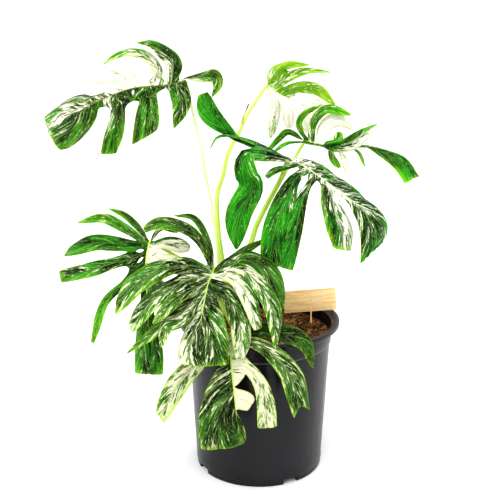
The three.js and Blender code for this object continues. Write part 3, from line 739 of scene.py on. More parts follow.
@dataclass(frozen=True)
class PotFinish:
    """Black moulded plastic with a faint satin, pale dusty specks and a painted highlight line along the
    step.
    """

    body: Colour = linear(0x0A0A0C)
    grey: Colour = linear(0x151519)
    dust_and_highlight: Colour = linear(0x8A8A90)
    # Height of the painted highlight line along the step of the wall, in metres.
    ledge_highlight_height: float = 0.1985
    roughness: float = 0.25

    def material(self, name: str) -> bpy.types.Material:
        """Builds the finish.

        Args:
            name: the material's name.

        Returns:
            The material.
        """
        s = Shader(name, Specular_IOR_Level=0.5)
        own = s.own()
        cloud = s.noise(own, 9, 3, 0.6)
        grain = s.noise(own, 900, 2, 0.6)
        run = s.noise(s.scaled(own, (1, 1, 0.12)), 60, 3, 0.6)
        speck = s.span(s.cells(own, 190), 0.07, 0.03)
        kept = s.span(s.noise(own, 38, 2, 0.5), 0.52, 0.62)
        colour = s.blend(s.span(cloud, 0.3, 0.7), self.body, self.grey)
        colour = s.blend(s.maths("MULTIPLY", s.maths("MULTIPLY", speck, kept), 0.55), colour, self.dust_and_highlight)
        # Painted highlight: a pale line along the step of the wall where it would catch the light, in the
        # same pale grey as the dust specks.
        ledge_highlight_gap = s.maths("ABSOLUTE", s.maths("SUBTRACT", s.axes(own)[2], self.ledge_highlight_height))
        colour = s.blend(s.part(ledge_highlight_gap, 0.0015, 0.0007, 0.4), colour, self.dust_and_highlight)
        rough = s.maths("ADD", s.span(run, 0.3, 0.7, (self.roughness - 0.03, self.roughness + 0.07)),
                        s.maths("MULTIPLY", grain, 0.05))
        return s.ends(Base_Color=colour, Roughness=rough, Normal=s.bump(grain, 0.0002, 0.25))


@dataclass(frozen=True)
class SoilFinish:
    """Coarse brown potting mix."""

    dark: Colour = linear(0x1C1008)
    brown: Colour = linear(0x6A4424)
    fibre: Colour = linear(0xE0B47C)
    grain: float = 260.0

    def material(self, name: str) -> bpy.types.Material:
        """Builds the finish.

        Args:
            name: the material's name.

        Returns:
            The material.
        """
        s = Shader(name, Specular_IOR_Level=0.2, Roughness=0.9)
        own = s.own()
        lump = s.noise(own, self.grain * 0.45, 3, 0.65)
        fine = s.noise(own, self.grain * 2.4, 3, 0.65)
        patch = s.noise(own, self.grain * 0.2, 2, 0.5)
        colour = s.blend(s.span(lump, 0.46, 0.58), self.dark, self.brown)
        colour = s.blend(s.part(fine, 0.54, 0.64, 0.85), colour, self.fibre)
        colour = s.blend(s.part(patch, 0.54, 0.65, 0.35), colour, self.fibre)
        rough = s.span(fine, 0.3, 0.7, (0.78, 0.95))
        return s.ends(Base_Color=colour, Roughness=rough, Normal=s.bump(fine, 0.0012, 0.7))


@dataclass(frozen=True)
class WoodFinish:
    """Bare pale wood with its grain along the plate."""

    pale: Colour = linear(0xFFE4B2)
    tan: Colour = linear(0xF4CC90)
    line: Colour = linear(0xCC9A5C)
    turn: float = 0.0
    lengthwise: Point = (0.06, 1.0, 1.0)

    def material(self, name: str) -> bpy.types.Material:
        """Builds the finish.

        Args:
            name: the material's name.

        Returns:
            The material.
        """
        s = Shader(name, Specular_IOR_Level=0.3)
        mapping = s.node("Mapping")
        s.feed(mapping.inputs["Vector"], s.own())
        mapping.inputs["Rotation"].default_value = (0, math.radians(self.turn), 0)
        grain = s.scaled(mapping.outputs["Vector"], self.lengthwise)
        bands = s.noise(grain, 360, 4, 0.6, 0.3)
        fibre = s.noise(grain, 1500, 3, 0.6)
        colour = s.blend(s.span(bands, 0.4, 0.62), self.pale, self.tan)
        colour = s.blend(s.part(fibre, 0.5, 0.72, 0.5), colour, self.line)
        rough = s.span(fibre, 0.3, 0.7, (0.52, 0.7))
        return s.ends(Base_Color=colour, Roughness=rough, Normal=s.bump(fibre, 0.0003, 0.4))


@dataclass(frozen=True)
class FloorFinish:
    """Plain pale paper."""

    white: Colour = (0.965, 0.965, 0.97)

    def material(self, name: str) -> bpy.types.Material:
        """Builds the finish.

        Args:
            name: the material's name.

        Returns:
            The material.
        """
        s = Shader(name, Specular_IOR_Level=0.25, Roughness=0.6)
        tone = s.noise(s.own(), 2.0, 2, 0.5)
        return s.ends(Base_Color=s.blend(s.span(tone, 0.3, 0.7), self.white, (0.95, 0.95, 0.955)))


@dataclass(frozen=True)
class Lobe:
    """One lobe of a blade, in millimetres as in the part's source.

    It leaves the midrib between the stations `start` and `stop` and runs through `points`. `cream` is how
    much of it is cream at its two root corners and its two tip corners, the corner nearer the stalk first,
    and `lime` how far its margin turns lime.
    """

    side: Side
    start: int
    stop: int
    half: float
    points: tuple[Point, ...]
    end: float = 0.6
    peak: float = 0.7
    neck: float = 0.55
    waist: float = 0.0
    skew: float = 0.0
    fork: float = 0.0
    sinus: float = 0.22
    hole: Point | None = None
    face: Point | None = None
    crease: float | None = None
    cream: tuple[float, float, float, float] = (0.3, 0.3, 0.3, 0.3)
    lime: float = 0.0

    def half_width(self, share: np.ndarray) -> np.ndarray:
        """Gives half the lobe's width at shares of its length.

        Args:
            share: the shares.

        Returns:
            The half widths, in millimetres.
        """
        rising = self.neck + (1 - self.neck) * smooth((share - self.waist) / (self.peak - self.waist))
        late = np.clip((share - self.peak) / (1 - self.peak), 0, 1)
        return self.half * np.where(share <= self.peak, rising, 1 - (1 - self.end) * late**2.2)


@dataclass(frozen=True)
class Sheet:
    """How a blade's fine sheet is laid over the part's plain one, in millimetres."""

    stations: int = 12
    plain_rows: tuple[float, ...] = (0, 0.08, 0.16, 0.24, 0.34, 0.46, 0.6, 0.75, 0.89, 1)
    between: int = 4
    columns: int = 8
    thickness: float = 0.6
    vein_angle: float = 32.0
    streak_angle: float = 13.0
    vein_spacing: float = 7.5
    quilt: float = 0.7
    arch: float = 0.18
    wave: float = 0.05
    corner: float = 0.1
    side_shift: float = 61.0
    lobe_shift: float = 137.0
    far: float = 60.0

    @property
    def rows(self) -> np.ndarray:
        """Gives the shares of a lobe's length at which its rows lie.

        Returns:
            The shares, from 0 to 1.
        """
        plain = self.plain_rows
        parts = [np.linspace(a, b, self.between, endpoint=False) for a, b in zip(plain, plain[1:])]
        return np.concatenate([*parts, [1.0]])


@dataclass
class LobeGrid:
    """The laid rows of one lobe: points as rows by columns by three."""

    lobe: Lobe
    grid: np.ndarray
    welded: list[float]

    def pull(self, last: bool, row: int, target: np.ndarray) -> None:
        """Moves one edge of a row to a new point, and the rest of the row with it in proportion.

        Args:
            last: whether it is the edge nearer the apex.
            row: the row's number.
            target: the new point of that edge.
        """
        points = self.grid[row]
        share = np.linspace(0, 1, len(points))[:, None]
        shift = target - points[-1 if last else 0]
        points += shift * (share if last else 1 - share)


@dataclass
class Blade:
    """One leaf blade, laid lobe by lobe along its midrib."""

    name: str
    normal: Point
    crowding: float
    midrib: tuple[Point, ...]
    lobes: tuple[Lobe, ...]
    top: LeafFinish = LeafFinish()
    under: LeafFinish = LeafFinish()
    slot: str = "leaf_marbled"
    rib: float = 1.8
    sheet: Sheet = Sheet()

    def __post_init__(self) -> None:
        """Lays the midrib and the way the blade faces along it."""
        self.route = Route(self.midrib)

    def station(self, number: np.ndarray | float) -> np.ndarray | float:
        """Gives the share of the midrib at a station."""
        return (np.asarray(number, float) / self.sheet.stations) ** self.crowding

    def lay(self, lobe: Lobe) -> LobeGrid:
        """Lays the rows of one lobe, from its root on the midrib to its tip.

        Args:
            lobe: the lobe.

        Returns:
            Its rows.
        """
        t = self.sheet.rows
        columns = (lobe.stop - lobe.start) * self.sheet.columns
        u = np.linspace(-1, 1, columns + 1)
        middle = self.station((lobe.start + lobe.stop) / 2)
        start = self.route.at(middle)
        spine = Route([tuple(start), *lobe.points])
        facing = self.route.square(np.array(self.normal), middle)
        if lobe.face:
            facing = np.array(lobe.face, float)
        tangent = spine.along(0.0)
        first = np.cross(tangent, squared(facing, tangent)) * int(lobe.side)
        centre, along, across = spine.at(t), spine.along(t), spine.square(first, t)
        blend = smooth(t / 0.22)
        shear = blend - smooth(t / 0.6)
        roots = self.route.at(self.station(lobe.start + (u + 1) / 2 * (lobe.stop - lobe.start)))
        reach = (lobe.skew * u[None, :] * smooth((t[:, None] - 0.5) / 0.5)
                 + lobe.fork * (u[None, :] ** 2 - 0.4) * smooth((t[:, None] - 0.7) / 0.3))
        width = lobe.half_width(t)[:, None]
        corner = self.sheet.corner * lobe.half * lobe.end * np.abs(u[None, :]) ** 5
        reach = reach - corner * smooth((t[:, None] - 0.75) / 0.25)
        strap = centre[:, None] + across[:, None] * (u[None, :] * width)[..., None]
        strap = strap + along[:, None] * reach[..., None]
        root = roots[None] + (centre - start)[:, None]
        grid = root + (strap - root) * blend[:, None, None]
        grid = grid + along[:, None] * (((roots - start) @ tangent)[None, :] * shear[:, None])[..., None]
        return LobeGrid(lobe, grid, [0.0, 0.0])

    def join_neighbours(self, first: LobeGrid, second: LobeGrid) -> None:
        """Joins two neighbours by a web as deep as the first one's sinus, and leaves its hole open.

        Args:
            first: the lobe nearer the stalk.
            second: the next lobe.
        """
        sinus, hole = first.lobe.sinus, first.lobe.hole
        weld = max(share for share in self.sheet.plain_rows if share <= sinus + 0.01)
        first.welded[1] = second.welded[0] = weld
        for r, share in enumerate(self.sheet.rows):
            a, b = first.grid[r][-1].copy(), second.grid[r][0].copy()
            seam = (a + b) / 2
            if hole and hole[0] < share < hole[1]:
                apart = unit(second.grid[r][-1] - first.grid[r][0])
                half = hole[2] * math.sin(math.pi * (share - hole[0]) / (hole[1] - hole[0]))
                first.pull(True, r, seam - apart * half)
                second.pull(False, r, seam + apart * half)
                continue
            opening = min(max((share - weld) / 0.12, 0), 1)
            parting = math.sqrt(1 - (1 - opening) ** 2)
            first.pull(True, r, seam + (a - seam) * parting)
            second.pull(False, r, seam + (b - seam) * parting)

    def join_apex(self, left: LobeGrid, right: LobeGrid) -> None:
        """Joins the last lobe of each side along a line that carries the midrib on to the apex.

        Args:
            left: the last lobe on the left.
            right: the last lobe on the right.
        """
        end = left.grid[0][-1].copy()
        apex = (left.grid[-1][-1] + right.grid[-1][-1]) / 2
        ahead = end + self.route.along(1.0) * np.linalg.norm(apex - end) / 2
        for r, t in enumerate(self.sheet.rows):
            target = (1 - t) ** 2 * end + 2 * t * (1 - t) * ahead + t * t * apex
            left.pull(True, r, target)
            right.pull(True, r, target)
        left.welded[1] = right.welded[1] = 2.0

    def grids(self) -> list[LobeGrid]:
        """Lays all lobes and joins them.

        Returns:
            The laid lobes, in the order of the table.
        """
        laid = [self.lay(lobe) for lobe in self.lobes]
        sides = [[grid for grid in laid if grid.lobe.side is side] for side in (Side.LEFT, Side.RIGHT)]
        for side in sides:
            for first, second in zip(side, side[1:]):
                self.join_neighbours(first, second)
        self.join_apex(sides[0][-1], sides[1][-1])
        return laid

    def measures(self, laid: LobeGrid) -> dict[str, np.ndarray]:
        """Measures a lobe's own places, for its relief and its pattern.

        Args:
            laid: the laid lobe.

        Returns:
            The distances across and along the lobe, along the side veins and to the margin, in
            millimetres, and the place across as a share.
        """
        grid = laid.grid
        rows, columns = grid.shape[:2]
        t = self.sheet.rows
        u = np.linspace(-1, 1, columns)
        middle = columns // 2
        step = np.linalg.norm(np.diff(grid, axis=1), axis=2)
        across = np.concatenate([np.zeros((rows, 1)), np.cumsum(step, axis=1)], axis=1)
        width = across[:, -1:]
        across = across - across[:, middle:middle + 1]
        run = np.linalg.norm(np.diff(grid[:, middle], axis=0), axis=1)
        along = np.repeat(np.concatenate([[0], np.cumsum(run)])[:, None], columns, axis=1)
        vein, streak = math.radians(self.sheet.vein_angle), math.radians(self.sheet.streak_angle)
        vein_gap = along * math.sin(vein) - np.abs(across) * math.cos(vein)
        streak_gap = along * math.sin(streak) - np.abs(across) * math.cos(streak)
        streak_run = np.abs(across) * math.sin(streak) + along * math.cos(streak)
        free = [np.clip((t - weld) / 0.06, 0, 1)[:, None] for weld in laid.welded]
        first_edge = (u[None, :] + 1) / 2 * width + (1 - free[0]) * self.sheet.far
        last_edge = (1 - u[None, :]) / 2 * width + (1 - free[1]) * self.sheet.far
        tip = along[-1:] - along
        return {"across": across, "along": along, "gap": vein_gap,
                "streak_gap": streak_gap + self.sheet.side_shift * (across > 0), "streak_run": streak_run,
                "margin": np.minimum(np.minimum(first_edge, last_edge), tip),
                "u": np.repeat(u[None], rows, 0)}

    def relief(self, laid: LobeGrid, m: dict[str, np.ndarray], phase: float) -> np.ndarray:
        """Works out how far each point of a lobe stands above its plain sheet, in millimetres.

        Args:
            laid: the laid lobe.
            m: its measures.
            phase: where its waves start.

        Returns:
            The heights.
        """
        sheet, t, u = self.sheet, self.sheet.rows[:, None], m["u"]
        half = laid.lobe.half
        fade = smooth(t / 0.25) * (1 - 0.5 * smooth((t - 0.8) / 0.2))
        bow = sheet.arch * half * (np.sin(np.pi * np.abs(u) ** 0.85) - 0.35 * u**2)
        wave = sheet.wave * half * np.sin(m["along"] / 7.5 + phase + 1.3 * np.sign(u)) * np.abs(u) ** 3
        ridge = np.abs(np.sin(np.pi * m["gap"] / sheet.vein_spacing)) - 0.6
        quilt = sheet.quilt * ridge * smooth(np.abs(m["across"]) / 4) * smooth(m["margin"] / 5)
        groove = -0.35 * np.exp(-((m["across"] / 1.2) ** 2)) - 0.5 * np.exp(-((m["along"] / 1.8) ** 2))
        if laid.lobe.crease:
            before = t - laid.lobe.crease
            groove = groove + 5.0 * smooth(before / 0.2 + 1) * (1 - smooth(before / 0.035))
        return (bow + wave) * fade + quilt * smooth(t / 0.12) + groove

    def lobe_piece(self, laid: LobeGrid, number: int) -> bpy.types.Object:
        """Makes the mesh of one lobe from a flat grid, with its maps and its relief height.

        Args:
            laid: the laid lobe.
            number: its number in the blade.

        Returns:
            The piece.
        """
        rows, columns = laid.grid.shape[:2]
        Bench.clear()
        bpy.ops.mesh.primitive_grid_add(x_subdivisions=columns - 1, y_subdivisions=rows - 1, size=0.02)
        piece = Bench.named(f"lobe_{number}")
        Bench.place(piece, laid.grid.reshape(-1, 3) * MM)
        if laid.lobe.side is Side.RIGHT:
            Bench.hold(piece)
            bpy.ops.object.mode_set(mode="EDIT")
            bpy.ops.mesh.select_all(action="SELECT")
            bpy.ops.mesh.flip_normals()
            bpy.ops.object.mode_set(mode="OBJECT")
        m = self.measures(laid)
        mesh = piece.data
        corner = Bench.corners(mesh)
        offset = self.sheet.lobe_shift * (number + 1)
        maps = {"streak": (m["streak_gap"] + offset, m["streak_run"]), "place": (m["across"], m["along"])}
        Bench.lay_maps(mesh, {key: np.stack([x.ravel(), y.ravel()], axis=1)[corner]
                              for key, (x, y) in maps.items()})
        t, v = self.sheet.rows[:, None], (m["u"] + 1) / 2
        a, b, c, d = laid.lobe.cream
        cream = (a * (1 - v) + b * v) * (1 - t) + (c * (1 - v) + d * v) * t
        lime = laid.lobe.lime * (0.35 + 0.65 * smooth((t - 0.35) / 0.6)) * np.ones_like(v)
        tint = np.stack([cream, lime, m["margin"] / 20, np.ones_like(v)], axis=-1).reshape(-1, 4)[corner]
        layer = mesh.attributes.new("tint", "FLOAT_COLOR", "CORNER")
        layer.data.foreach_set("color", tint.ravel())
        height = mesh.attributes.new("height", "FLOAT", "POINT")
        height.data.foreach_set("value", self.relief(laid, m, 1.7 * number).ravel())
        return piece

    def rib_piece(self) -> bpy.types.Object:
        """Makes the rib that carries the stalk on under the midrib, tapering to the apex.

        Returns:
            The rib.
        """
        shares = np.linspace(0, 1, 40)
        face = self.route.square(np.array(self.normal), shares)
        radius = self.rib * (1 - 0.78 * shares)
        centre = self.route.at(shares) - face * (radius + 1.0)[:, None]
        return Tube("rib", 10).build(centre, face, radius)

    def build(self) -> bpy.types.Object:
        """Builds the blade and dresses it.

        Returns:
            The finished piece.
        """
        pieces = [self.lobe_piece(laid, number) for number, laid in enumerate(self.grids())]
        blade = Bench.join(pieces, f"blade_{self.name}")
        Bench.weld(blade, 0.00001, recalculate=False)
        count = len(blade.data.vertices)
        height = np.empty(count)
        blade.data.attributes["height"].data.foreach_get("value", height)
        normals = np.empty(count * 3)
        blade.data.vertices.foreach_get("normal", normals)
        Bench.place(blade, Bench.points(blade) + normals.reshape(-1, 3) * (height * MM)[:, None])
        blade.data.attributes.remove(blade.data.attributes["height"])
        Bench.modify(blade, "SOLIDIFY", thickness=self.sheet.thickness * MM, offset=-1, material_offset=1)
        blade.data.materials.append(self.top.material(f"leaf_{self.name}_face"))
        blade.data.materials.append(self.under.material(f"leaf_{self.name}_back"))
        rib = self.rib_piece()
        rib.data.materials.append(StalkFinish(*RIB_GREENS).material(f"leaf_{self.name}_rib"))
        blade = Bench.join([blade, rib], f"blade_{self.name}")
        Bench.soften(blade, 60)
        return blade


@dataclass
class Tube:
    """A round piece swept along a route, ring by ring."""

    name: str
    sides: int = 20

    def build(self, centres: np.ndarray, facing: np.ndarray, radii: np.ndarray,
              profile: np.ndarray | None = None) -> bpy.types.Object:
        """Extrudes a filled circle along the route and sets each ring square to it.

        Args:
            centres: the centre of each ring, in millimetres.
            facing: the direction of each ring's first point.
            radii: the radius of each ring.
            profile: the share of the radius at each ring and side, where the tube isn't round.

        Returns:
            The tube, in metres, with the map `streak`.
        """
        rings = len(centres)
        tangent = unit(np.gradient(centres, axis=0))
        first = unit(facing - (facing * tangent).sum(1, keepdims=True) * tangent)
        second = np.cross(tangent, first)
        angle = 2 * np.pi * np.arange(self.sides) / self.sides
        reach = radii[:, None] * (profile if profile is not None else np.ones((rings, self.sides)))
        ring = (centres[:, None] + first[:, None] * (reach * np.cos(angle))[..., None]
                + second[:, None] * (reach * np.sin(angle))[..., None])
        Bench.clear()
        bpy.ops.mesh.primitive_cylinder_add(vertices=self.sides, radius=0.01, depth=0.01,
                                            end_fill_type="NGON")
        tube = Bench.named(self.name)
        self.cut(tube, rings)
        mesh = tube.data
        points = Bench.points(tube)
        row = np.rint((points[:, 2] / 0.01 + 0.5) * (rings - 1)).astype(int)
        turn = np.arctan2(points[:, 1], points[:, 0])
        column = np.rint(turn / (2 * np.pi) * self.sides).astype(int) % self.sides
        Bench.place(tube, ring[row, column] * MM)
        run = np.concatenate([[0], np.cumsum(np.linalg.norm(np.diff(centres, axis=0), axis=1))])
        corner = Bench.corners(mesh)
        x = (column / self.sides)[corner]
        for face in mesh.polygons:
            span = x[face.loop_start:face.loop_start + face.loop_total]
            if face.loop_total == 4 and span.max() - span.min() > 0.5:
                span[span < 0.5] += 1
        pair = np.stack([x * 2 * np.pi * float(np.mean(radii)), run[row][corner]], axis=1)
        Bench.lay_maps(mesh, {"streak": pair})
        Bench.weld(tube, 0.000001)
        Bench.soften(tube, 50)
        return tube

    def cut(self, tube: bpy.types.Object, rings: int) -> None:
        """Cuts the plain cylinder into rings by subdividing its upright edges.

        Args:
            tube: the cylinder.
            rings: how many rings it gets.
        """
        Bench.hold(tube)
        bpy.ops.object.mode_set(mode="EDIT")
        bpy.ops.mesh.select_mode(type="EDGE")
        bpy.ops.mesh.select_all(action="DESELECT")
        mesh = bmesh.from_edit_mesh(tube.data)
        for edge in mesh.edges:
            edge.select = abs(edge.verts[0].co.z - edge.verts[1].co.z) > 0.005
        bmesh.update_edit_mesh(tube.data)
        bpy.ops.mesh.subdivide(number_cuts=rings - 2)
        bpy.ops.object.mode_set(mode="OBJECT")


@dataclass
class Stalk:
    """One leaf stalk: a sheathing base, a grooved shaft and a swollen joint under the blade."""

    name: str
    base: float
    tip: float
    tone: Tone
    route: tuple[Point, ...]
    step: float = 3.0

    def build(self, finish: StalkFinish) -> bpy.types.Object:
        """Builds the stalk and dresses it.

        Args:
            finish: its finish.

        Returns:
            The finished piece.
        """
        route = Route(self.route)
        share = np.linspace(0, 1, max(12, int(route.length / self.step)))
        face = route.square(np.array([-0.6, -1.0, 0.1]), share)
        radius = self.base + (self.tip - self.base) * share
        left = (1 - share) * route.length
        radius = radius * (1 + 0.14 * np.exp(-(((left - 9) / 6) ** 2)))
        angle = 2 * np.pi * np.arange(20) / 20
        groove = 0.16 * np.exp(-((np.minimum(angle, 2 * np.pi - angle) / 0.42) ** 2))
        profile = 1 - groove[None, :] * (0.4 + 0.6 * smooth(share / 0.3))[:, None]
        stalk = Tube(f"petiole_{self.name}").build(route.at(share), face, radius, profile)
        stalk.data.materials.append(finish.material(f"stalk_{self.name}"))
        return stalk


@dataclass
class Wisp:
    """A thin withered thread: the dry tip of a sheath or of a lobe."""

    name: str
    route: tuple[Point, ...]
    foot: float
    tip: float
    foot_tone: int
    tip_tone: int

    def build(self) -> bpy.types.Object:
        """Builds the thread and dresses it.

        Returns:
            The finished piece.
        """
        route = Route(self.route)
        share = np.linspace(0, 1, 14)
        radius = self.foot + (self.tip - self.foot) * share + 0.12 * self.foot * np.sin(share * 9)
        face = route.square(np.array([0.3, -1.0, 0.2]), share)
        wisp = Tube(self.name, 8).build(route.at(share), face, radius)
        finish = DryFinish(linear(self.foot_tone), linear(self.tip_tone), route.length)
        wisp.data.materials.append(finish.material(self.name))
        return wisp


@dataclass
class Stem:
    """The short main stem with the rings of its leaf scars."""

    route: tuple[Point, ...] = ((-6, 6, 150), (-9, 6, 196), (-16, 6, 222), (-28, 5, 246), (-41, 3, 270),
                                (-51, 2, 294))
    radius: float = 9.5
    top_radius: float = 8.0
    swell: float = 1.1
    nodes: int = 6

    def build(self) -> bpy.types.Object:
        """Builds the stem and dresses it.

        Returns:
            The finished piece.
        """
        route = Route(self.route)
        share = np.linspace(0, 1, 90)
        face = route.square(np.array([0.0, -1.0, 0.1]), share)
        ring = np.maximum(0, np.cos(2 * np.pi * self.nodes * share)) ** 6
        scar = np.maximum(0, np.cos(2 * np.pi * self.nodes * (share - 0.012))) ** 60
        radius = self.radius + (self.top_radius - self.radius) * share + self.swell * ring - 0.6 * scar
        angle = 2 * np.pi * np.arange(28) / 28
        knobs = 0.03 * np.sin(3 * angle[None, :] + 9 * share[:, None])
        knobs = knobs + 0.015 * np.sin(7 * angle[None, :] - 31 * share[:, None])
        stem = Tube("stem", 28).build(route.at(share), face, radius, 1 + knobs)
        stem.data.materials.append(StemFinish().material("stem_skin"))
        return stem


@dataclass
class Pot:
    """The round black pot, in millimetres: a tapered wall, a step, a flanged lip and a notched foot."""

    height: float = 230.0
    rim_radius: float = 120.0
    mouth_radius: float = 112.7
    lip_height: float = 7.0
    neck_radius: float = 109.0
    step_drop: float = 31.0
    step_depth: float = 1.6
    neck_taper: float = 1.2
    foot_radius: float = 95.5
    foot_ease: float = 0.8
    foot_ring: float = 7.0
    base_lift: float = 7.0
    wall: float = 1.8
    centre_foot: float = 22.0
    floor: float = 9.5
    sides: int = 160
    notch_count: int = 4
    notch_width: float = 24.0
    notch_height: float = 7.5
    notch_angle: float = -61.2
    notch_round: float = 1.5

    def wall_radius(self, z: float) -> float:
        """Gives the radius of the outer wall at a height.

        Args:
            z: the height.

        Returns:
            The radius.
        """
        step = self.height - self.step_drop
        over = self.neck_radius - self.neck_taper
        if z >= step:
            return over + (self.neck_radius - over) * (z - step) / self.step_drop
        return self.foot_radius + (over - self.step_depth - self.foot_radius) * z / step

    def outline(self) -> list[Ring]:
        """Lists the pot's rings from the outer foot over the lip to the floor inside.

        Returns:
            The radius and height of each ring.
        """
        lip, step = self.height - self.lip_height, self.height - self.step_drop
        return [
            (self.foot_radius, 0.8), (self.foot_radius + 0.25, 7.6), (self.foot_radius + 0.75, 8.2),
            (self.foot_radius + 1, 9), *((self.wall_radius(z), z) for z in range(20, int(step) - 6, 18)),
            (self.wall_radius(step - 2.2), step - 2.2), (self.wall_radius(step - 1.6), step - 1.6),
            (self.wall_radius(step + 0.2) - 0.5, step - 0.7), (self.wall_radius(step + 0.2), step + 0.2),
            (self.wall_radius(step + 12), step + 12), (self.wall_radius(lip - 1), lip - 1),
            (self.wall_radius(lip) + 0.5, lip), (self.rim_radius - 1, lip),
            (self.rim_radius - 0.3, lip + 0.3), (self.rim_radius, lip + 1),
            (self.rim_radius, self.height - 1.5), (self.rim_radius - 0.4, self.height - 0.5),
            (self.rim_radius - 1.4, self.height),
            (self.mouth_radius + 1.4, self.height), (self.mouth_radius + 0.4, self.height - 0.4),
            (self.mouth_radius, self.height - 1.4), (self.neck_radius - self.wall + 0.4, lip + 1.8),
            (self.neck_radius - self.wall - 0.2, lip - 1), (self.wall_radius(step) - self.wall, step),
            (self.foot_radius + 1 - self.wall, self.floor + 2),
            (self.foot_radius - 1 - self.wall, self.floor), (30.0, self.floor), (2.0, self.floor),
        ]

    def build(self) -> bpy.types.Object:
        """Builds the pot from a low cylinder, cuts its notches and dresses it.

        Returns:
            The finished piece.
        """
        Bench.clear()
        radius, low = self.foot_radius - self.foot_ease, self.foot_ease / 2
        bpy.ops.mesh.primitive_cylinder_add(vertices=self.sides, radius=radius * MM, depth=low * MM,
                                            location=(0, 0, low / 2 * MM), end_fill_type="NGON")
        pot = Bench.named("moulded_pot")
        Bench.settle(pot)
        Bench.lathe(pot, self.outline(), (radius, low))
        self.hollow_foot(pot)
        Bench.weld(pot, 0.000001)
        for number in range(self.notch_count):
            self.cut_notch(pot, math.radians(self.notch_angle + 360 / self.notch_count * number))
        Bench.soften(pot, 28)
        pot.data.materials.clear()
        pot.data.materials.append(PotFinish().material("pot_plastic"))
        return pot

    def hollow_foot(self, pot: bpy.types.Object) -> None:
        """Sinks the underside between the foot ring and the centre foot.

        Args:
            pot: the pot.
        """
        inner = self.foot_radius - self.foot_ring
        outline = [(inner + 1, 0), (inner, self.base_lift), (self.centre_foot + 1, self.base_lift),
                   (self.centre_foot, 0), (4.0, 0)]
        Bench.lathe(pot, outline, (self.foot_radius - self.foot_ease, 0.0), under=True)

    def cut_notch(self, pot: bpy.types.Object, angle: float) -> None:
        """Cuts one notch through the foot ring at an angle.

        Args:
            pot: the pot.
            angle: where it is cut, in radians.
        """
        Bench.clear()
        reach = self.foot_radius - self.foot_ring / 2
        place = (reach * math.cos(angle) * MM, reach * math.sin(angle) * MM, 0)
        size = ((2 * self.foot_ring + 8) * MM, self.notch_width * MM, 2 * self.notch_height * MM)
        bpy.ops.mesh.primitive_cube_add(size=1, location=place, rotation=(0, 0, angle), scale=size)
        cutter = Bench.named("notch_cutter")
        Bench.modify(cutter, "BEVEL", width=self.notch_round * MM, segments=3)
        Bench.modify(pot, "BOOLEAN", object=cutter, operation="DIFFERENCE", solver="EXACT")
        bpy.data.objects.remove(cutter)


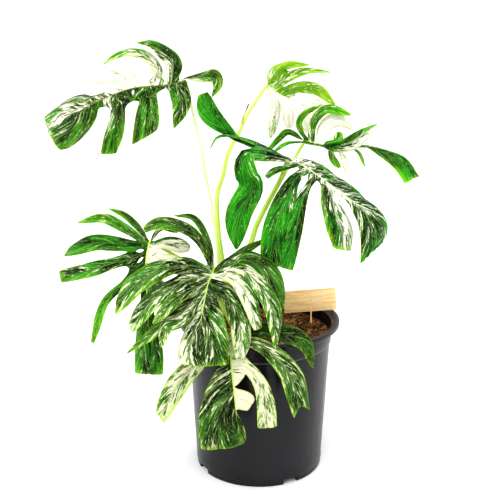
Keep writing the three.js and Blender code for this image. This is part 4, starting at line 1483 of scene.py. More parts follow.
@dataclass
class Soil:
    """Potting mix: an uneven bed with loose chunks and shreds on it, in millimetres."""

    top: float = 210.0
    bottom: float = 11.0
    radius: float = 105.4
    foot_radius: float = 91.5
    sag: float = 1.4
    relief: float = 1.76
    waves: tuple[tuple[float, float], ...] = ((31, 1.2), (9, 0.9), (3.4, 0.55))
    rings: int = 26
    chunks: int = 620
    kinds: int = 8
    margin: float = 5.0
    smallest: float = 3.0
    largest: float = 8.5
    seed: int = 7

    def bed_height(self, x: float, y: float) -> float:
        """Works out the height of the bed at a place, in millimetres.

        Args:
            x: how far right the place is.
            y: how far back it is.

        Returns:
            The height.
        """
        place = Vector((x, y, 0))
        waves = sum(noise.noise(place / size) * depth for size, depth in self.waves)
        return self.top - self.sag + waves * self.relief

    def bed(self) -> bpy.types.Object:
        """Builds the bed from a cylinder whose top is inset ring by ring.

        Returns:
            The bed.
        """
        Bench.clear()
        depth = (self.top - self.bottom) * MM
        bpy.ops.mesh.primitive_cone_add(vertices=120, radius1=self.foot_radius * MM,
                                        radius2=self.radius * MM, depth=depth,
                                        location=(0, 0, self.bottom * MM + depth / 2), end_fill_type="NGON")
        bed = Bench.named("potting_mix")
        Bench.settle(bed)
        outline = [(self.radius * (1 - ring / self.rings) + 1.0, self.top) for ring in range(1, self.rings)]
        Bench.lathe(bed, outline, (self.radius, self.top))
        points = Bench.points(bed)
        for point in points:
            if point[2] > (self.top - 1) * MM:
                point[2] = self.bed_height(point[0] / MM, point[1] / MM) * MM
        Bench.place(bed, points)
        Bench.weld(bed, 0.000001)
        Bench.soften(bed, 35)
        return bed

    def chunk(self, number: int, rng: random.Random) -> bpy.types.Object:
        """Models one loose chunk: a ball drawn out and knocked into a shard, or a thin shred.

        Args:
            number: which of the kinds it is.
            rng: the source of its unevenness.

        Returns:
            The chunk, about one unit across.
        """
        Bench.clear()
        bpy.ops.mesh.primitive_ico_sphere_add(subdivisions=1 if number % 2 else 2, radius=0.5)
        chunk = Bench.named(f"chunk_{number}")
        size = ((1.0, 0.62, 0.42), (1.0, 0.5, 0.5), (1.0, 0.8, 0.7), (1.6, 0.16, 0.13))[number % 4]
        points = Bench.points(chunk)
        for point in points:
            point *= 1 + 0.28 * (rng.random() - 0.5)
        Bench.place(chunk, points * np.array(size))
        return chunk

    def build(self) -> list[bpy.types.Object]:
        """Builds the bed and its loose chunks and dresses them.

        Returns:
            The bed, and the chunks as one piece.
        """
        rng = random.Random(self.seed)
        bed = self.bed()
        bed.data.materials.append(SoilFinish().material("potting_mix_bed"))
        kinds = [self.chunk(number, rng) for number in range(self.kinds)]
        copies = []
        for number in range(self.chunks):
            reach = math.sqrt(rng.random()) * (self.radius - self.margin)
            turn = rng.random() * 2 * math.pi
            x, y = reach * math.cos(turn), reach * math.sin(turn)
            kind = kinds[rng.randrange(len(kinds))]
            copy = bpy.data.objects.new("chunk_copy", kind.data.copy())
            bpy.context.collection.objects.link(copy)
            size = rng.uniform(self.smallest, self.largest)
            copy.location = (x * MM, y * MM, (self.bed_height(x, y) + size * 0.12) * MM)
            copy.rotation_euler = (rng.uniform(-0.5, 0.5), rng.uniform(-0.5, 0.5), rng.random() * 6.28)
            copy.scale = (size * MM,) * 3
            copies.append(copy)
        for kind in kinds:
            bpy.data.objects.remove(kind)
        loose = Bench.join(copies, "loose_mix")
        Bench.settle(loose)
        loose.data.materials.clear()
        bits = SoilFinish(linear(0x26160A), linear(0x865A30), linear(0xDCB47C), 170.0)
        loose.data.materials.append(bits.material("potting_mix_bits"))
        return [bed, loose]


@dataclass
class Tag:
    """The bare wooden plate and the square stake in front of it, in millimetres."""

    width: float = 80.0
    height: float = 35.0
    thickness: float = 3.0
    centre: Point = (77.5, 30, 246.5)
    tilt: float = 4.2
    stake_side: float = 2.4
    stake_top: float = 236.0
    stake_bottom: float = 165.0
    stake_x: float = 79.5
    gap: float = 0.3

    def board(self, name: str, size: Point, centre: Point, tilt: float, bevel: float) -> bpy.types.Object:
        """Makes one board: a box at its size and place with eased edges.

        Args:
            name: its name.
            size: its three sides.
            centre: its centre.
            tilt: how far its right end is raised, in degrees.
            bevel: how far the edges are eased.

        Returns:
            The board.
        """
        Bench.clear()
        bpy.ops.mesh.primitive_cube_add(size=1, location=tuple(c * MM for c in centre),
                                        rotation=(0, -math.radians(tilt), 0),
                                        scale=tuple(side * MM for side in size))
        board = Bench.named(name)
        Bench.settle(board)
        Bench.modify(board, "BEVEL", width=bevel * MM, segments=3, limit_method="ANGLE")
        Bench.soften(board, 40)
        return board

    def build(self) -> list[bpy.types.Object]:
        """Builds the plate and the stake and dresses them.

        Returns:
            The plate and the stake.
        """
        plate = self.board("plate", (self.width, self.thickness, self.height), self.centre, self.tilt, 0.5)
        plate.data.materials.append(WoodFinish(turn=self.tilt).material("tag_wood"))
        depth = self.centre[1] - self.thickness / 2 - self.gap - self.stake_side / 2
        length = self.stake_top - self.stake_bottom
        stake = self.board("stake", (self.stake_side, self.stake_side, length),
                           (self.stake_x, depth, self.stake_bottom + length / 2), 0.0, 0.35)
        stake.data.materials.append(WoodFinish(lengthwise=(1.0, 1.0, 0.06)).material("stake_wood"))
        return [plate, stake]


@dataclass
class Studio:
    """A plain pale floor, soft light all round and the camera, in metres."""

    camera_place: Point = (-0.014, -1.320, 0.698)
    pitch: float = 15.39
    lens: float = 66.96
    floor_radius: float = 60.0
    sensor: float = 36.0
    horizon: float = 1.0
    zenith: float = 0.45
    fade: tuple[float, float] = (0.05, 0.7)
    sun_power: float = 1.9
    sun_width: float = 70.0
    sun_way: Point = (0.2, 0.8, -0.9)
    lamps: tuple[tuple[str, Point, float], ...] = (
        ("key", (-1.3, -1.5, 2.6), 16.0), ("rim", (0.9, 1.2, 2.0), 10.0))
    lamp_size: float = 1.2
    aim: Point = (0, 0, 0.32)

    def build(self) -> None:
        """Lays the floor, hangs the lights and sets the camera."""
        Bench.clear()
        bpy.ops.mesh.primitive_circle_add(vertices=96, radius=self.floor_radius, fill_type="NGON",
                                          location=(0, 0, -0.0005))
        floor = Bench.named("floor")
        Bench.settle(floor)
        floor.data.materials.append(FloorFinish().material("floor_paper"))
        for name, place, power in self.lamps:
            self.lamp(name, place, power)
        self.sun()
        self.room()
        bpy.context.scene.view_settings.view_transform = "Standard"
        bpy.context.scene.view_settings.look = "High Contrast"
        camera = self.hang("camera", bpy.data.cameras.new("camera"))
        camera.location = self.camera_place
        camera.rotation_euler = (math.radians(90 - self.pitch), 0, 0)
        camera.data.lens = self.lens
        camera.data.sensor_width = self.sensor
        camera.data.clip_end = 40
        bpy.context.scene.camera = camera

    def sun(self) -> None:
        """Adds the wide even light of a large overhead screen, from the upper left in front."""
        light = bpy.data.lights.new("screen", "SUN")
        light.energy, light.angle = self.sun_power, math.radians(self.sun_width)
        screen = self.hang("screen", light)
        screen.rotation_euler = Vector(self.sun_way).to_track_quat("-Z", "Y").to_euler()

    def room(self) -> None:
        """Fills the room with plain light, brightest at the horizon."""
        world = bpy.data.worlds.new("soft_room")
        world.use_nodes = True
        nodes, links = world.node_tree.nodes, world.node_tree.links
        split = nodes.new("ShaderNodeSeparateXYZ")
        span = nodes.new("ShaderNodeMapRange")
        links.new(nodes.new("ShaderNodeTexCoord").outputs["Generated"], split.inputs[0])
        links.new(split.outputs["Z"], span.inputs["Value"])
        low, high = self.fade
        for key, value in {"From Min": low, "From Max": high, "To Min": self.horizon,
                           "To Max": self.zenith}.items():
            span.inputs[key].default_value = value
        back = nodes["Background"]
        back.inputs["Color"].default_value = (0.985, 0.99, 1.0, 1)
        links.new(span.outputs[0], back.inputs["Strength"])
        bpy.context.scene.world = world

    def hang(self, name: str, data: bpy.types.ID) -> bpy.types.Object:
        """Adds a light or the camera to the scene.

        Args:
            name: its name.
            data: its own data.

        Returns:
            The object that holds it.
        """
        holder = bpy.data.objects.new(name, data)
        bpy.context.collection.objects.link(holder)
        return holder

    def lamp(self, name: str, place: Point, power: float) -> None:
        """Hangs one soft lamp that looks at the middle of the plant.

        Args:
            name: its name.
            place: where it hangs.
            power: its power in watts.
        """
        light = bpy.data.lights.new(name, "AREA")
        light.size, light.energy = self.lamp_size, power
        lamp = self.hang(name, light)
        lamp.location = place
        lamp.rotation_euler = (Vector(self.aim) - Vector(place)).to_track_quat("-Z", "Y").to_euler()


BLADES = [
    Blade(
        name="upper_left",
        normal=(-0.15, -0.5, 0.85),
        crowding=1,
        midrib=((-102, -10, 584), (-128, -14, 577), (-179, -18, 572), (-229, -16, 553), (-272, -14, 529)),
        lobes=(
            Lobe(Side.LEFT, 0, 2, 14, ((-108, -40, 554), (-118, -50, 521)),
                 end=0.05, peak=0.3, neck=0.85, sinus=0.08, cream=(0.6, 0.5, 0.55, 0.5), lime=0.3),
            Lobe(Side.LEFT, 2, 5, 17, ((-154, -44, 542), (-158, -54, 508)),
                 end=0.95, peak=0.75, skew=12, sinus=0.24, hole=(0.03, 0.13, 2),
                 cream=(0.4, 0.35, 0.5, 0.3), lime=0.3),
            Lobe(Side.LEFT, 5, 8, 14, ((-197, -44, 529), (-209, -54, 486)),
                 end=0.85, neck=0.65, skew=3, sinus=0.18, cream=(0.3, 0.75, 0.1, 0.45), lime=0.3),
            Lobe(Side.LEFT, 8, 12, 26, ((-249, -36, 524), (-284, -44, 500)),
                 end=0.85, neck=0.8, cream=(0.3, 0.5, 0.35, 0.6), lime=0.5),
            Lobe(Side.RIGHT, 0, 1, 9, ((-82, 4, 585), (-64, -2, 588), (-59, -10, 576), (-67, -16, 560)),
                 end=0.08, peak=0.6, neck=0.4, sinus=0.08, face=(0, -0.9, 0.4),
                 cream=(1, 0.6, 0.35, 0.1), lime=0.6),
            Lobe(Side.RIGHT, 1, 2, 12, ((-122, 16, 604), (-139, 28, 621), (-155, 36, 630), (-175, 40, 631)),
                 end=0.05, peak=0.35, neck=0.7, sinus=0.1, face=(0, -0.85, 0.5),
                 cream=(0.1, 1.1, 0.05, 0.45), lime=0.2),
            Lobe(Side.RIGHT, 2, 4, 9, ((-146, 32, 593), (-164, 48, 612), (-190, 58, 617), (-212, 60, 610),
                 (-228, 60, 599)),
                 end=0.08, peak=0.65, sinus=0.15, face=(0, -0.7, 0.7), cream=(0.75, 1, 0.3, 0.8), lime=0.9),
            Lobe(Side.RIGHT, 4, 7, 17, ((-198, 34, 584), (-252, 48, 579)),
                 neck=0.8, sinus=0.3, cream=(1, 1, 1, 1)),
            Lobe(Side.RIGHT, 7, 12, 15, ((-266, 26, 550), (-312, 28, 523)),
                 end=0.7, neck=0.8, cream=(0.5, 0.85, 0.5, 0.8), lime=0.4),
        ),
    ),
    Blade(
        name="upper_right",
        normal=(0.1, -0.3, 0.95),
        crowding=1.3,
        midrib=((12, 127, 563), (32, 125, 549), (63, 123, 536), (97, 123, 524)),
        lobes=(
            Lobe(Side.LEFT, 0, 1, 9, ((25, 145, 583), (49, 156, 592), (79, 162, 591)),
                 end=0.08, peak=0.45, neck=0.8, sinus=0.45, face=(0, -0.6, 0.8),
                 cream=(0.45, 0.4, 0.35, 0.35), lime=0.8),
            Lobe(Side.LEFT, 1, 3, 8, ((51, 147, 575), (76, 156, 583), (112, 162, 580)),
                 end=0.04, peak=0.4, neck=0.8, sinus=0.15, face=(0, -0.7, 0.7), cream=(0.6, 0.6, 0.4, 0.6),
                 lime=0.8),
            Lobe(Side.LEFT, 3, 6, 12, ((57, 142, 557), (90, 149, 555), (120, 151, 530)),
                 end=0.08, peak=0.6, neck=0.6, face=(0, -0.85, 0.5), cream=(0.5, 0.55, 0.4, 0.5), lime=0.7),
            Lobe(Side.LEFT, 6, 9, 9, ((92, 146, 536), (106, 154, 522)),
                 end=0.3, cream=(1.2, 1.1, 1.2, 1.1), lime=0.1),
            Lobe(Side.LEFT, 9, 12, 9, ((107, 126, 517), (118, 122, 508)),
                 end=0.4, neck=0.8, cream=(0.8, 0.8, 1, 1), lime=0.4),
            Lobe(Side.RIGHT, 0, 2, 11, ((26, 110, 536), (23, 101, 509), (17, 97, 485)),
                 end=0.06, peak=0.65, neck=0.5, sinus=0.08, cream=(1.2, 1.2, 0.9, 0.62), lime=0.1),
            Lobe(Side.RIGHT, 2, 5, 13, ((44, 104, 527), (46, 99, 501)),
                 end=0.5, neck=0.4, sinus=0.08, cream=(1.3, 1.3, 1.3, 1.3)),
            Lobe(Side.RIGHT, 5, 8, 12, ((68, 104, 519), (75, 98, 495)),
                 end=0.5, neck=0.4, sinus=0.08, cream=(1.3, 1.3, 1.3, 1.3)),
            Lobe(Side.RIGHT, 8, 12, 9, ((98, 112, 515), (108, 110, 504)),
                 end=0.5, neck=0.8, cream=(1.2, 1.1, 1.2, 1.1), lime=0.1),
        ),
    ),
    Blade(
        name="centre_right",
        normal=(0.35, -0.45, 0.8),
        crowding=1.25,
        midrib=((39, -40, 478), (61, -50, 469), (85, -58, 454), (124, -68, 426), (159, -74, 404)),
        lobes=(
            Lobe(Side.LEFT, 0, 1, 14, ((4, -42, 490), (-28, -52, 505), (-41, -56, 516), (-59, -60, 532),
                 (-71, -63, 547), (-77, -66, 570)),
                 end=0.5, peak=0.84, neck=0.22, waist=0.42, sinus=0.08, face=(-0.2, -1, 0.3),
                 cream=(0.1, 0.1, 0.05, 0.05), lime=0.1),
            Lobe(Side.LEFT, 1, 4, 10, ((64, -34, 474), (88, -16, 462), (110, -4, 445)),
                 end=0.5, neck=0.7, sinus=0.35, cream=(0.7, 0.6, 0.55, 0.4), lime=0.2),
            Lobe(Side.LEFT, 4, 7, 9, ((109, -42, 447), (131, -30, 432), (151, -20, 414)),
                 end=0.2, neck=0.7, sinus=0.5, cream=(0.65, 0.55, 0.55, 0.3), lime=0.3),
            Lobe(Side.LEFT, 7, 12, 12, ((158, -50, 414), (172, -60, 390), (168, -72, 365)),
                 end=0.3, neck=0.6, cream=(0.65, 0.55, 0.5, 0.45), lime=0.2),
            Lobe(Side.RIGHT, 0, 1, 3.5, ((1, -52, 499), (-37, -76, 514), (-57, -84, 514), (-67, -86, 500)),
                 end=0.3, peak=0.5, sinus=0.4, cream=(0.35, 0.35, 0.2, 0.2), lime=0.2),
            Lobe(Side.RIGHT, 1, 2, 18, ((6, -72, 488), (-20, -86, 490), (-19, -95, 468), (-13, -86, 445),
                 (-30, -84, 406), (-33, -80, 358)),
                 end=0.1, peak=0.75, neck=0.5, sinus=0.1, face=(0, -0.6, 0.8), crease=0.5,
                 cream=(0.05, 0.85, 0.1, 0.1), lime=0.1),
            Lobe(Side.RIGHT, 2, 3, 6, ((22, -74, 468), (8, -82, 459)),
                 sinus=0.1, cream=(0.5, 0.5, 0.4, 0.4), lime=0.1),
            Lobe(Side.RIGHT, 3, 4, 17, ((40, -80, 442), (21, -92, 394), (13, -94, 340)),
                 end=0.8, neck=0.6, sinus=1, hole=(0.05, 0.3, 4), cream=(0.55, 0.6, 0.12, 0.15), lime=0.2),
            Lobe(Side.RIGHT, 4, 5, 11, ((59, -80, 439), (48, -92, 394), (36, -96, 333)),
                 end=0.8, neck=0.6, sinus=0.08, cream=(0.6, 0.55, 0.12, 0.15), lime=0.2),
            Lobe(Side.RIGHT, 5, 8, 22, ((100, -84, 417), (109, -97, 389), (112, -100, 362)),
                 end=0.75, peak=0.6, neck=0.5, skew=5, sinus=0.1, cream=(0.5, 1.1, 0.2, 0.8), lime=0.9),
            Lobe(Side.RIGHT, 8, 12, 16, ((146, -84, 392), (148, -88, 366), (139, -92, 340)),
                 end=0.1, peak=0.4, neck=0.8, cream=(0.75, 0.55, 0.35, 0.3), lime=0.3),
        ),
    ),
    Blade(
        name="right_back",
        normal=(0, -0.1, 1),
        crowding=1.2,
        midrib=((67, 53, 488), (97, 48, 483), (131, 44, 481), (163, 40, 482), (189, 38, 473)),
        lobes=(
            Lobe(Side.LEFT, 0, 1, 5, ((59, 54, 508), (60, 56, 519), (70, 58, 530), (92, 62, 540)),
                 end=0.1, peak=0.45, sinus=0.1, face=(0, -1, 0.2), cream=(0.35, 0.3, 0.2, 0.2), lime=0.8),
            Lobe(Side.LEFT, 1, 2, 7, ((78, 56, 508), (86, 60, 524), (103, 64, 534), (136, 66, 525)),
                 end=0.15, neck=0.8, sinus=0.1, face=(0, -0.9, 0.4), cream=(0.7, 0.3, 0.45, 0.35),
                 lime=0.9),
            Lobe(Side.LEFT, 2, 4, 12, ((96, 64, 506), (118, 72, 518), (139, 78, 505)),
                 end=0.4, sinus=0.12, face=(0, -0.6, 0.8), cream=(1.1, 1.1, 1, 1), lime=0.2),
            Lobe(Side.LEFT, 4, 7, 7, ((117, 62, 489), (121, 68, 499)),
                 end=0.5, sinus=0.08, cream=(0.6, 0.6, 0.6, 0.6), lime=0.6),
            Lobe(Side.LEFT, 7, 12, 9, ((213, 47, 464), (238, 43, 434)),
                 end=1.1, peak=0.9, neck=0.4, face=(0, -0.3, 1), cream=(0.15, 0.05, 0, 0), lime=0.9),
            Lobe(Side.RIGHT, 0, 1, 5, ((43, 42, 503), (28, 32, 494), (10, 22, 476)),
                 end=0.4, peak=0.4, sinus=0.08, face=(0, -0.8, 0.6), cream=(0.3, 0.3, 0.1, 0.1), lime=0.2),
            Lobe(Side.RIGHT, 1, 2, 5, ((41, 28, 489), (16, 18, 474)),
                 end=0.15, sinus=0.08, cream=(0.4, 0.4, 0.4, 0.4), lime=0.2),
            Lobe(Side.RIGHT, 2, 4, 13, ((102, 21, 485), (131, 13, 490), (167, 7, 519)),
                 end=0.05, peak=0.55, neck=0.4, sinus=0.08, face=(0, -1, -0.2),
                 cream=(0.45, 0.1, 1.6, 0.25), lime=0.1),
            Lobe(Side.RIGHT, 4, 5, 6, ((107, 24, 467), (117, 19, 454)),
                 end=0.4, sinus=0.08, cream=(0.6, 0.6, 0.5, 0.5), lime=0.9),
            Lobe(Side.RIGHT, 5, 6, 5, ((124, 24, 464), (125, 19, 449)),
                 end=0.4, sinus=0.08, cream=(1, 1, 1, 1)),
            Lobe(Side.RIGHT, 6, 7, 4, ((144, 28, 476), (154, 21, 455)),
                 end=0.1, sinus=0.08, cream=(0.3, 0.3, 0.2, 0.2), lime=0.7),
            Lobe(Side.RIGHT, 7, 12, 9, ((197, 28, 458), (217, 27, 433)),
                 end=1.1, peak=0.9, neck=0.4, face=(0, -0.3, 1), cream=(0.1, 0.15, 0, 0), lime=0.9),
        ),
    ),
    Blade(
        name="left",
        normal=(-0.1, -0.55, 0.8),
        crowding=1.7,
        midrib=((-158, -30, 356), (-162, -50, 331), (-159, -78, 291), (-155, -98, 231)),
        lobes=(
            Lobe(Side.RIGHT, 0, 1, 5, ((-178, -20, 377), (-195, -18, 392), (-217, -20, 402)),
                 end=0.1, peak=0.5, sinus=0.1, cream=(0.3, 0.3, 0.2, 0.2), lime=0.4),
            Lobe(Side.RIGHT, 1, 2, 8, ((-197, -28, 377), (-224, -30, 390), (-259, -36, 385)),
                 end=0.08, peak=0.5, sinus=0.15, cream=(0.45, 0.5, 0.4, 0.45), lime=0.8),
            Lobe(Side.RIGHT, 2, 3, 13, ((-199, -45, 356), (-233, -52, 360), (-271, -60, 350)),
                 end=0.5, peak=0.6, skew=7, sinus=0.24, hole=(0.04, 0.14, 3), cream=(0.35, 0.3, 0.2, 0.25),
                 lime=0.2),
            Lobe(Side.RIGHT, 3, 4, 12, ((-197, -62, 336), (-235, -72, 327), (-279, -80, 318)),
                 end=0.8, sinus=0.25, hole=(0.04, 0.14, 3), cream=(0.45, 0.5, 0.45, 0.4), lime=0.4),
            Lobe(Side.RIGHT, 4, 6, 7, ((-192, -84, 307), (-217, -96, 283), (-234, -104, 229)),
                 end=0.4, sinus=0.16, cream=(0.3, 0.15, 0.05, 0.05), lime=0.6),
            Lobe(Side.RIGHT, 6, 12, 11, ((-163, -100, 239), (-166, -108, 184)),
                 end=0.9, neck=0.7, cream=(0.45, 0.4, 0.35, 0.4), lime=0.4),
            Lobe(Side.LEFT, 0, 1, 5, ((-141, -20, 373), (-118, -16, 366)),
                 end=0.2, sinus=0.1, cream=(0.5, 0.5, 0.4, 0.4), lime=0.3),
            Lobe(Side.LEFT, 1, 3, 12, ((-131, -36, 355), (-100, -36, 347)),
                 end=0.4, neck=0.5, sinus=0.3, cream=(0.35, 1.2, 0.5, 1.2), lime=0.1),
            Lobe(Side.LEFT, 3, 5, 13, ((-127, -56, 332), (-99, -60, 319)),
                 end=0.5, cream=(1, 1, 0.95, 0.85), lime=0.2),
            Lobe(Side.LEFT, 5, 8, 13, ((-123, -80, 284), (-104, -88, 250)),
                 end=0.5, cream=(0.6, 0.6, 0.6, 0.6), lime=0.2),
            Lobe(Side.LEFT, 8, 12, 11, ((-147, -102, 218), (-146, -106, 182)),
                 end=0.9, neck=0.7, cream=(0.45, 0.4, 0.3, 0.4), lime=0.4),
        ),
    ),
    Blade(
        name="front",
        normal=(0, -0.75, 0.65),
        crowding=1.5,
        midrib=((-63, -90, 335), (-72, -116, 316), (-77, -136, 293), (-82, -150, 259)),
        lobes=(
            Lobe(Side.RIGHT, 0, 1, 5, ((-73, -66, 367), (-92, -56, 396), (-120, -56, 400)),
                 end=0.1, peak=0.6, sinus=0.1, cream=(0.3, 0.3, 0.25, 0.25), lime=0.2),
            Lobe(Side.RIGHT, 1, 2, 9.5, ((-83, -78, 369), (-105, -74, 387), (-138, -74, 394),
                 (-160, -78, 385)),
                 end=0.5, neck=0.5, sinus=0.12, cream=(0.5, 0.4, 0.35, 0.4), lime=0.3),
            Lobe(Side.RIGHT, 2, 3, 16, ((-95, -116, 348), (-134, -136, 345), (-166, -146, 328),
                 (-192, -150, 299)),
                 end=0.5, neck=0.5, skew=9, sinus=0.35, cream=(0.55, 0.5, 0.45, 0.5), lime=0.6),
            Lobe(Side.RIGHT, 3, 4, 14, ((-108, -128, 325), (-145, -144, 304), (-174, -150, 268)),
                 end=0.5, neck=0.5, skew=3, sinus=0.34, cream=(0.65, 0.65, 0.55, 0.6), lime=0.35),
            Lobe(Side.RIGHT, 4, 5, 9, ((-105, -146, 312), (-122, -161, 301), (-142, -168, 280)),
                 end=0.1, neck=0.6, sinus=0.24, cream=(0.5, 0.6, 0.5, 0.5), lime=0.35),
            Lobe(Side.RIGHT, 5, 6, 9, ((-113, -142, 285), (-146, -146, 258), (-180, -148, 231)),
                 end=0.06, peak=0.5, sinus=0.15, cream=(0.6, 0.5, 0.5, 0.5), lime=0.4),
            Lobe(Side.RIGHT, 6, 8, 10, ((-104, -158, 283), (-125, -166, 274), (-133, -164, 246)),
                 end=0.25, cream=(0.6, 0.6, 0.6, 0.65), lime=0.3),
            Lobe(Side.RIGHT, 8, 12, 16, ((-92, -162, 247), (-95, -166, 221)),
                 end=0.85, neck=0.8, cream=(0.65, 0.55, 0.95, 0.45), lime=0.3),
            Lobe(Side.LEFT, 0, 1, 7, ((-39, -80, 344), (-20, -66, 353), (6, -52, 364)),
                 end=0.3, peak=0.5, sinus=0.1, cream=(0.3, 0.3, 0.25, 0.25), lime=0.2),
            Lobe(Side.LEFT, 1, 2, 14, ((-33, -96, 347), (-13, -104, 352), (14, -112, 332), (31, -116, 283)),
                 end=0.1, neck=0.4, sinus=0.12, cream=(0.45, 0.45, 0.25, 0.3), lime=0.2),
            Lobe(Side.LEFT, 2, 3, 13, ((-30, -116, 341), (-5, -130, 327), (17, -144, 292), (21, -152, 239)),
                 end=0.1, peak=0.6, neck=0.4, cream=(0.6, 0.7, 0.5, 0.6), lime=0.25),
            Lobe(Side.LEFT, 3, 4, 12, ((-35, -128, 330), (-15, -142, 306), (-3, -144, 264)),
                 end=0.5, peak=0.6, cream=(0.8, 1, 0.5, 0.95), lime=0.2),
            Lobe(Side.LEFT, 4, 6, 15, ((-45, -128, 309), (-29, -142, 281), (-25, -149, 248),
                 (-27, -150, 224)),
                 end=0.5, peak=0.6, neck=0.7, sinus=0.2, cream=(0.45, 0.35, 0.8, 0.7), lime=0.15),
            Lobe(Side.LEFT, 6, 12, 17, ((-63, -158, 275), (-57, -168, 221)),
                 end=0.85, neck=0.9, cream=(0.5, 0.5, 0.45, 0.5), lime=0.4),
        ),
    ),
    Blade(
        name="low_front",
        normal=(0, -1, 0.15),
        crowding=1,
        midrib=((-35, -120, 254), (-39, -132, 235), (-39, -140, 212), (-35, -146, 165), (-32, -147, 125)),
        lobes=(
            Lobe(Side.RIGHT, 0, 1, 16, ((-64, -116, 225), (-98, -112, 193), (-124, -112, 157),
                 (-142, -112, 120)),
                 skew=4, sinus=0, cream=(0.8, 0.75, 0.65, 0.8), lime=0.9),
            Lobe(Side.RIGHT, 1, 3, 8, ((-52, -128, 225), (-66, -130, 211)),
                 end=0.3, sinus=0.1, cream=(0.95, 0.9, 0.9, 0.9), lime=0.2),
            Lobe(Side.RIGHT, 3, 12, 26, ((-52, -146, 174), (-59, -150, 131), (-60, -148, 87)),
                 end=0.85, peak=0.6, neck=0.75, cream=(0.55, 0.28, 0.52, 0.32), lime=0.4),
            Lobe(Side.LEFT, 0, 1, 13, ((2, -120, 254), (38, -122, 249), (63, -124, 234), (73, -124, 200)),
                 end=0.05, peak=0.55, sinus=0.08, cream=(0.4, 0.35, 0.25, 0.25), lime=0.2),
            Lobe(Side.LEFT, 1, 2, 17, ((-6, -134, 240), (23, -140, 222), (45, -138, 189), (57, -132, 140)),
                 end=0.75, peak=0.75, neck=0.4, fork=14, sinus=0.08, cream=(0.85, 0.55, 0.4, 0.5),
                 lime=0.3),
            Lobe(Side.LEFT, 2, 7, 13.5, ((-19, -144, 209), (0, -148, 186), (8, -146, 154), (10, -142, 118)),
                 end=1, peak=0.9, sinus=0, cream=(0.9, 0.95, 0.7, 0.75), lime=0.3),
            Lobe(Side.LEFT, 7, 10, 14, ((-22, -148, 161), (-12, -149, 155)),
                 end=0.7, peak=0.4, neck=1, sinus=0, cream=(1.1, 1.1, 1.1, 1.1), lime=0.1),
            Lobe(Side.LEFT, 10, 12, 4, ((-26, -148, 122), (-22, -147, 98)),
                 end=0.3, neck=0.8, cream=(0.5, 0.5, 0.4, 0.4), lime=0.2),
        ),
    ),
]

STALKS = [
    Stalk(
        name="upper_left", base=3.2, tip=2, tone=Tone.PALE,
        route=(
            (-54, 3, 286), (-60, 5, 306), (-62, 5, 326), (-64, 6, 354), (-68, 8, 381), (-72, 8, 408),
            (-78, 6, 441), (-83, 3, 481), (-91, -2, 519), (-96, -6, 545), (-101, -9, 572), (-102, -10, 584),
        ),
    ),
    Stalk(
        name="upper_right", base=4, tip=2.1, tone=Tone.LIME,
        route=(
            (-48, 2, 278), (-51, -5, 300), (-55, -6, 322), (-60, -6, 366), (-62, -5, 403), (-60, 0, 424),
            (-53, 8, 445), (-47, 25, 470), (-39, 40, 486), (-28, 58, 504), (-17, 82, 524), (-1, 110, 546),
            (12, 127, 563),
        ),
    ),
    Stalk(
        name="centre_right", base=4.3, tip=3.4, tone=Tone.LIME,
        route=(
            (-38, 3, 262), (-34, -5, 284), (-28, -10, 307), (-12, -18, 352), (-4, -22, 378),
            (10, -28, 409), (27, -34, 443), (36, -38, 466), (39, -40, 478),
        ),
    ),
    Stalk(
        name="right_back", base=3.6, tip=2.2, tone=Tone.LIME,
        route=(
            (-33, 4, 255), (-28, 14, 285), (-16, 20, 330), (-3, 26, 366), (17, 34, 404), (37, 42, 439),
            (56, 49, 469), (65, 52, 484), (67, 53, 488),
        ),
    ),
    Stalk(
        name="left", base=3.4, tip=2.3, tone=Tone.LIME,
        route=(
            (-38, 4, 264), (-62, 8, 282), (-92, 4, 304), (-125, -4, 328), (-148, -18, 346),
            (-158, -30, 356),
        ),
    ),
    Stalk(
        name="front", base=3.8, tip=2.8, tone=Tone.LIME,
        route=(
            (-44, 3, 274), (-47, -16, 288), (-53, -46, 310), (-59, -74, 326), (-63, -90, 335),
        ),
    ),
    Stalk(
        name="low_front", base=3.6, tip=2.5, tone=Tone.LIME,
        route=(
            (-24, 5, 240), (-30, -22, 256), (-44, -62, 282), (-54, -98, 298), (-55, -118, 294),
            (-45, -124, 275), (-35, -120, 254),
        ),
    ),
]

GREENS = {
    "upper_left": (0x0A1E05, 0x388010, 0x98CE48), "upper_right": (0x54820A, 0x8CB41C, 0xD4DE58),
    "centre_right": (0x061A04, 0x268616, 0x84C850), "right_back": (0x0E4208, 0x36A018, 0x96D044),
    "left": (0x061A05, 0x32821C, 0xA0D670), "front": (0x051404, 0x346A1A, 0xA2C470),
    "low_front": (0x061204, 0x2A5A14, 0xA4C26C),
}
VEINS = {"upper_left": 0x6F6A3C, "left": 0xC5D86A, "centre_right": 0xC9D6A0}
RIB_GREENS = (linear(0x8FBF3A), linear(0xB4D45E), linear(0x6A9A2A))
CREAMS = {
    "upper_left": 0xCECCBC, "centre_right": 0xDAD8CC, "left": 0xD4D2BE, "front": 0xCCCEB6,
    "low_front": 0xC8C8AC,
}
SPOTS = {
    "left": ((-152, -36, 359), 3.2), "right_back": ((161, 40, 487), 4.0),
    "upper_right": ((23, 99, 517), 1.8),
}
WISPS = [
    Wisp("sheath_tip", ((-25.9, 63, 513.1), (-23.3, 60, 523.6), (-19.7, 57, 533.1), (-15.6, 56, 542.5)),
         1.6, 0.6, 0xB9C24E, 0x4A3420),
    Wisp("hanging_shred", ((225, 33, 431), (227, 32, 423), (225, 31, 418), (229, 31, 412)),
         0.8, 0.35, 0xC9C98A, 0xA89A58),
    Wisp("withered_point", ((-221, -54, 489), (-224, -54, 482), (-227, -54, 477)),
         0.6, 0.3, 0xA08A5A, 0x6E5232),
]
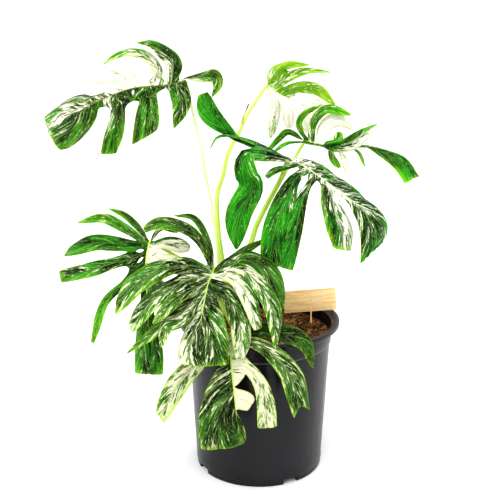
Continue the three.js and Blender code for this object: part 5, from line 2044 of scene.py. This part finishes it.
SLOTS = {"upper_right": "leaf_light", "right_back": "leaf_bright"}


class Plant:
    """The whole plant in its pot."""

    def add(self, piece: bpy.types.Object, slot: str, *nodes: str) -> None:
        """Places a piece in the frame and reports it.

        Args:
            piece: the piece.
            slot: the material slot; not used.
            *nodes: the nodes that it stands for.
        """
        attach(piece, "root")
        if nodes:
            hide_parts(*nodes)
        LOG.info("%s: %d points, %d faces", piece.name, len(piece.data.vertices), len(piece.data.polygons))

    def build(self) -> None:
        """Builds every piece in order."""
        self.add(Pot().build(), "pot", "pot")
        bed, loose = Soil().build()
        self.add(bed, "soil", "soil")
        self.add(loose, "soil")
        self.add(Stem().build(), "stem", "main_stem")
        plate, stake = Tag().build()
        self.add(plate, "tag", "tag_plate")
        self.add(stake, "tag", "tag_stake")
        for number, blade in enumerate(BLADES):
            dark, mid, bright = (linear(green) for green in GREENS[blade.name])
            spot, spot_size = SPOTS.get(blade.name, ((0, 0, 0), 0.0))
            blade.top = LeafFinish(dark, mid, bright, seed=3.7 * number, spot=spot, spot_size=spot_size,
                                   vein=linear(VEINS.get(blade.name, 0xB9CF72)),
                                   cream=linear(CREAMS.get(blade.name, 0xDCDACC)))
            blade.under = replace(blade.top, pale=0.45, roughness=0.5)
            blade.slot = SLOTS.get(blade.name, "leaf_marbled")
            self.add(blade.build(), blade.slot, f"leaf_{blade.name}")
        lime = StalkFinish(linear(0xB4D638), linear(0xE0EE96), linear(0x8CB424))
        pale = StalkFinish(linear(0xE2EAB4), linear(0xF2F4DC), linear(0xB4CC68))
        for stalk in STALKS:
            finish = pale if stalk.tone is Tone.PALE else lime
            self.add(stalk.build(finish), stalk.tone.value, f"stalk_{stalk.name}")
        for wisp in WISPS:
            self.add(wisp.build(), "stem")


def main() -> None:
    """Builds the scene."""
    logging.basicConfig(level=logging.INFO, format="%(name)s %(message)s")
    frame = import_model()
    LOG.info("frame with %d nodes", len(frame["nodes"]))
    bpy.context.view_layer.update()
    Studio().build()
    Plant().build()


if __name__ == "__main__":
    main()
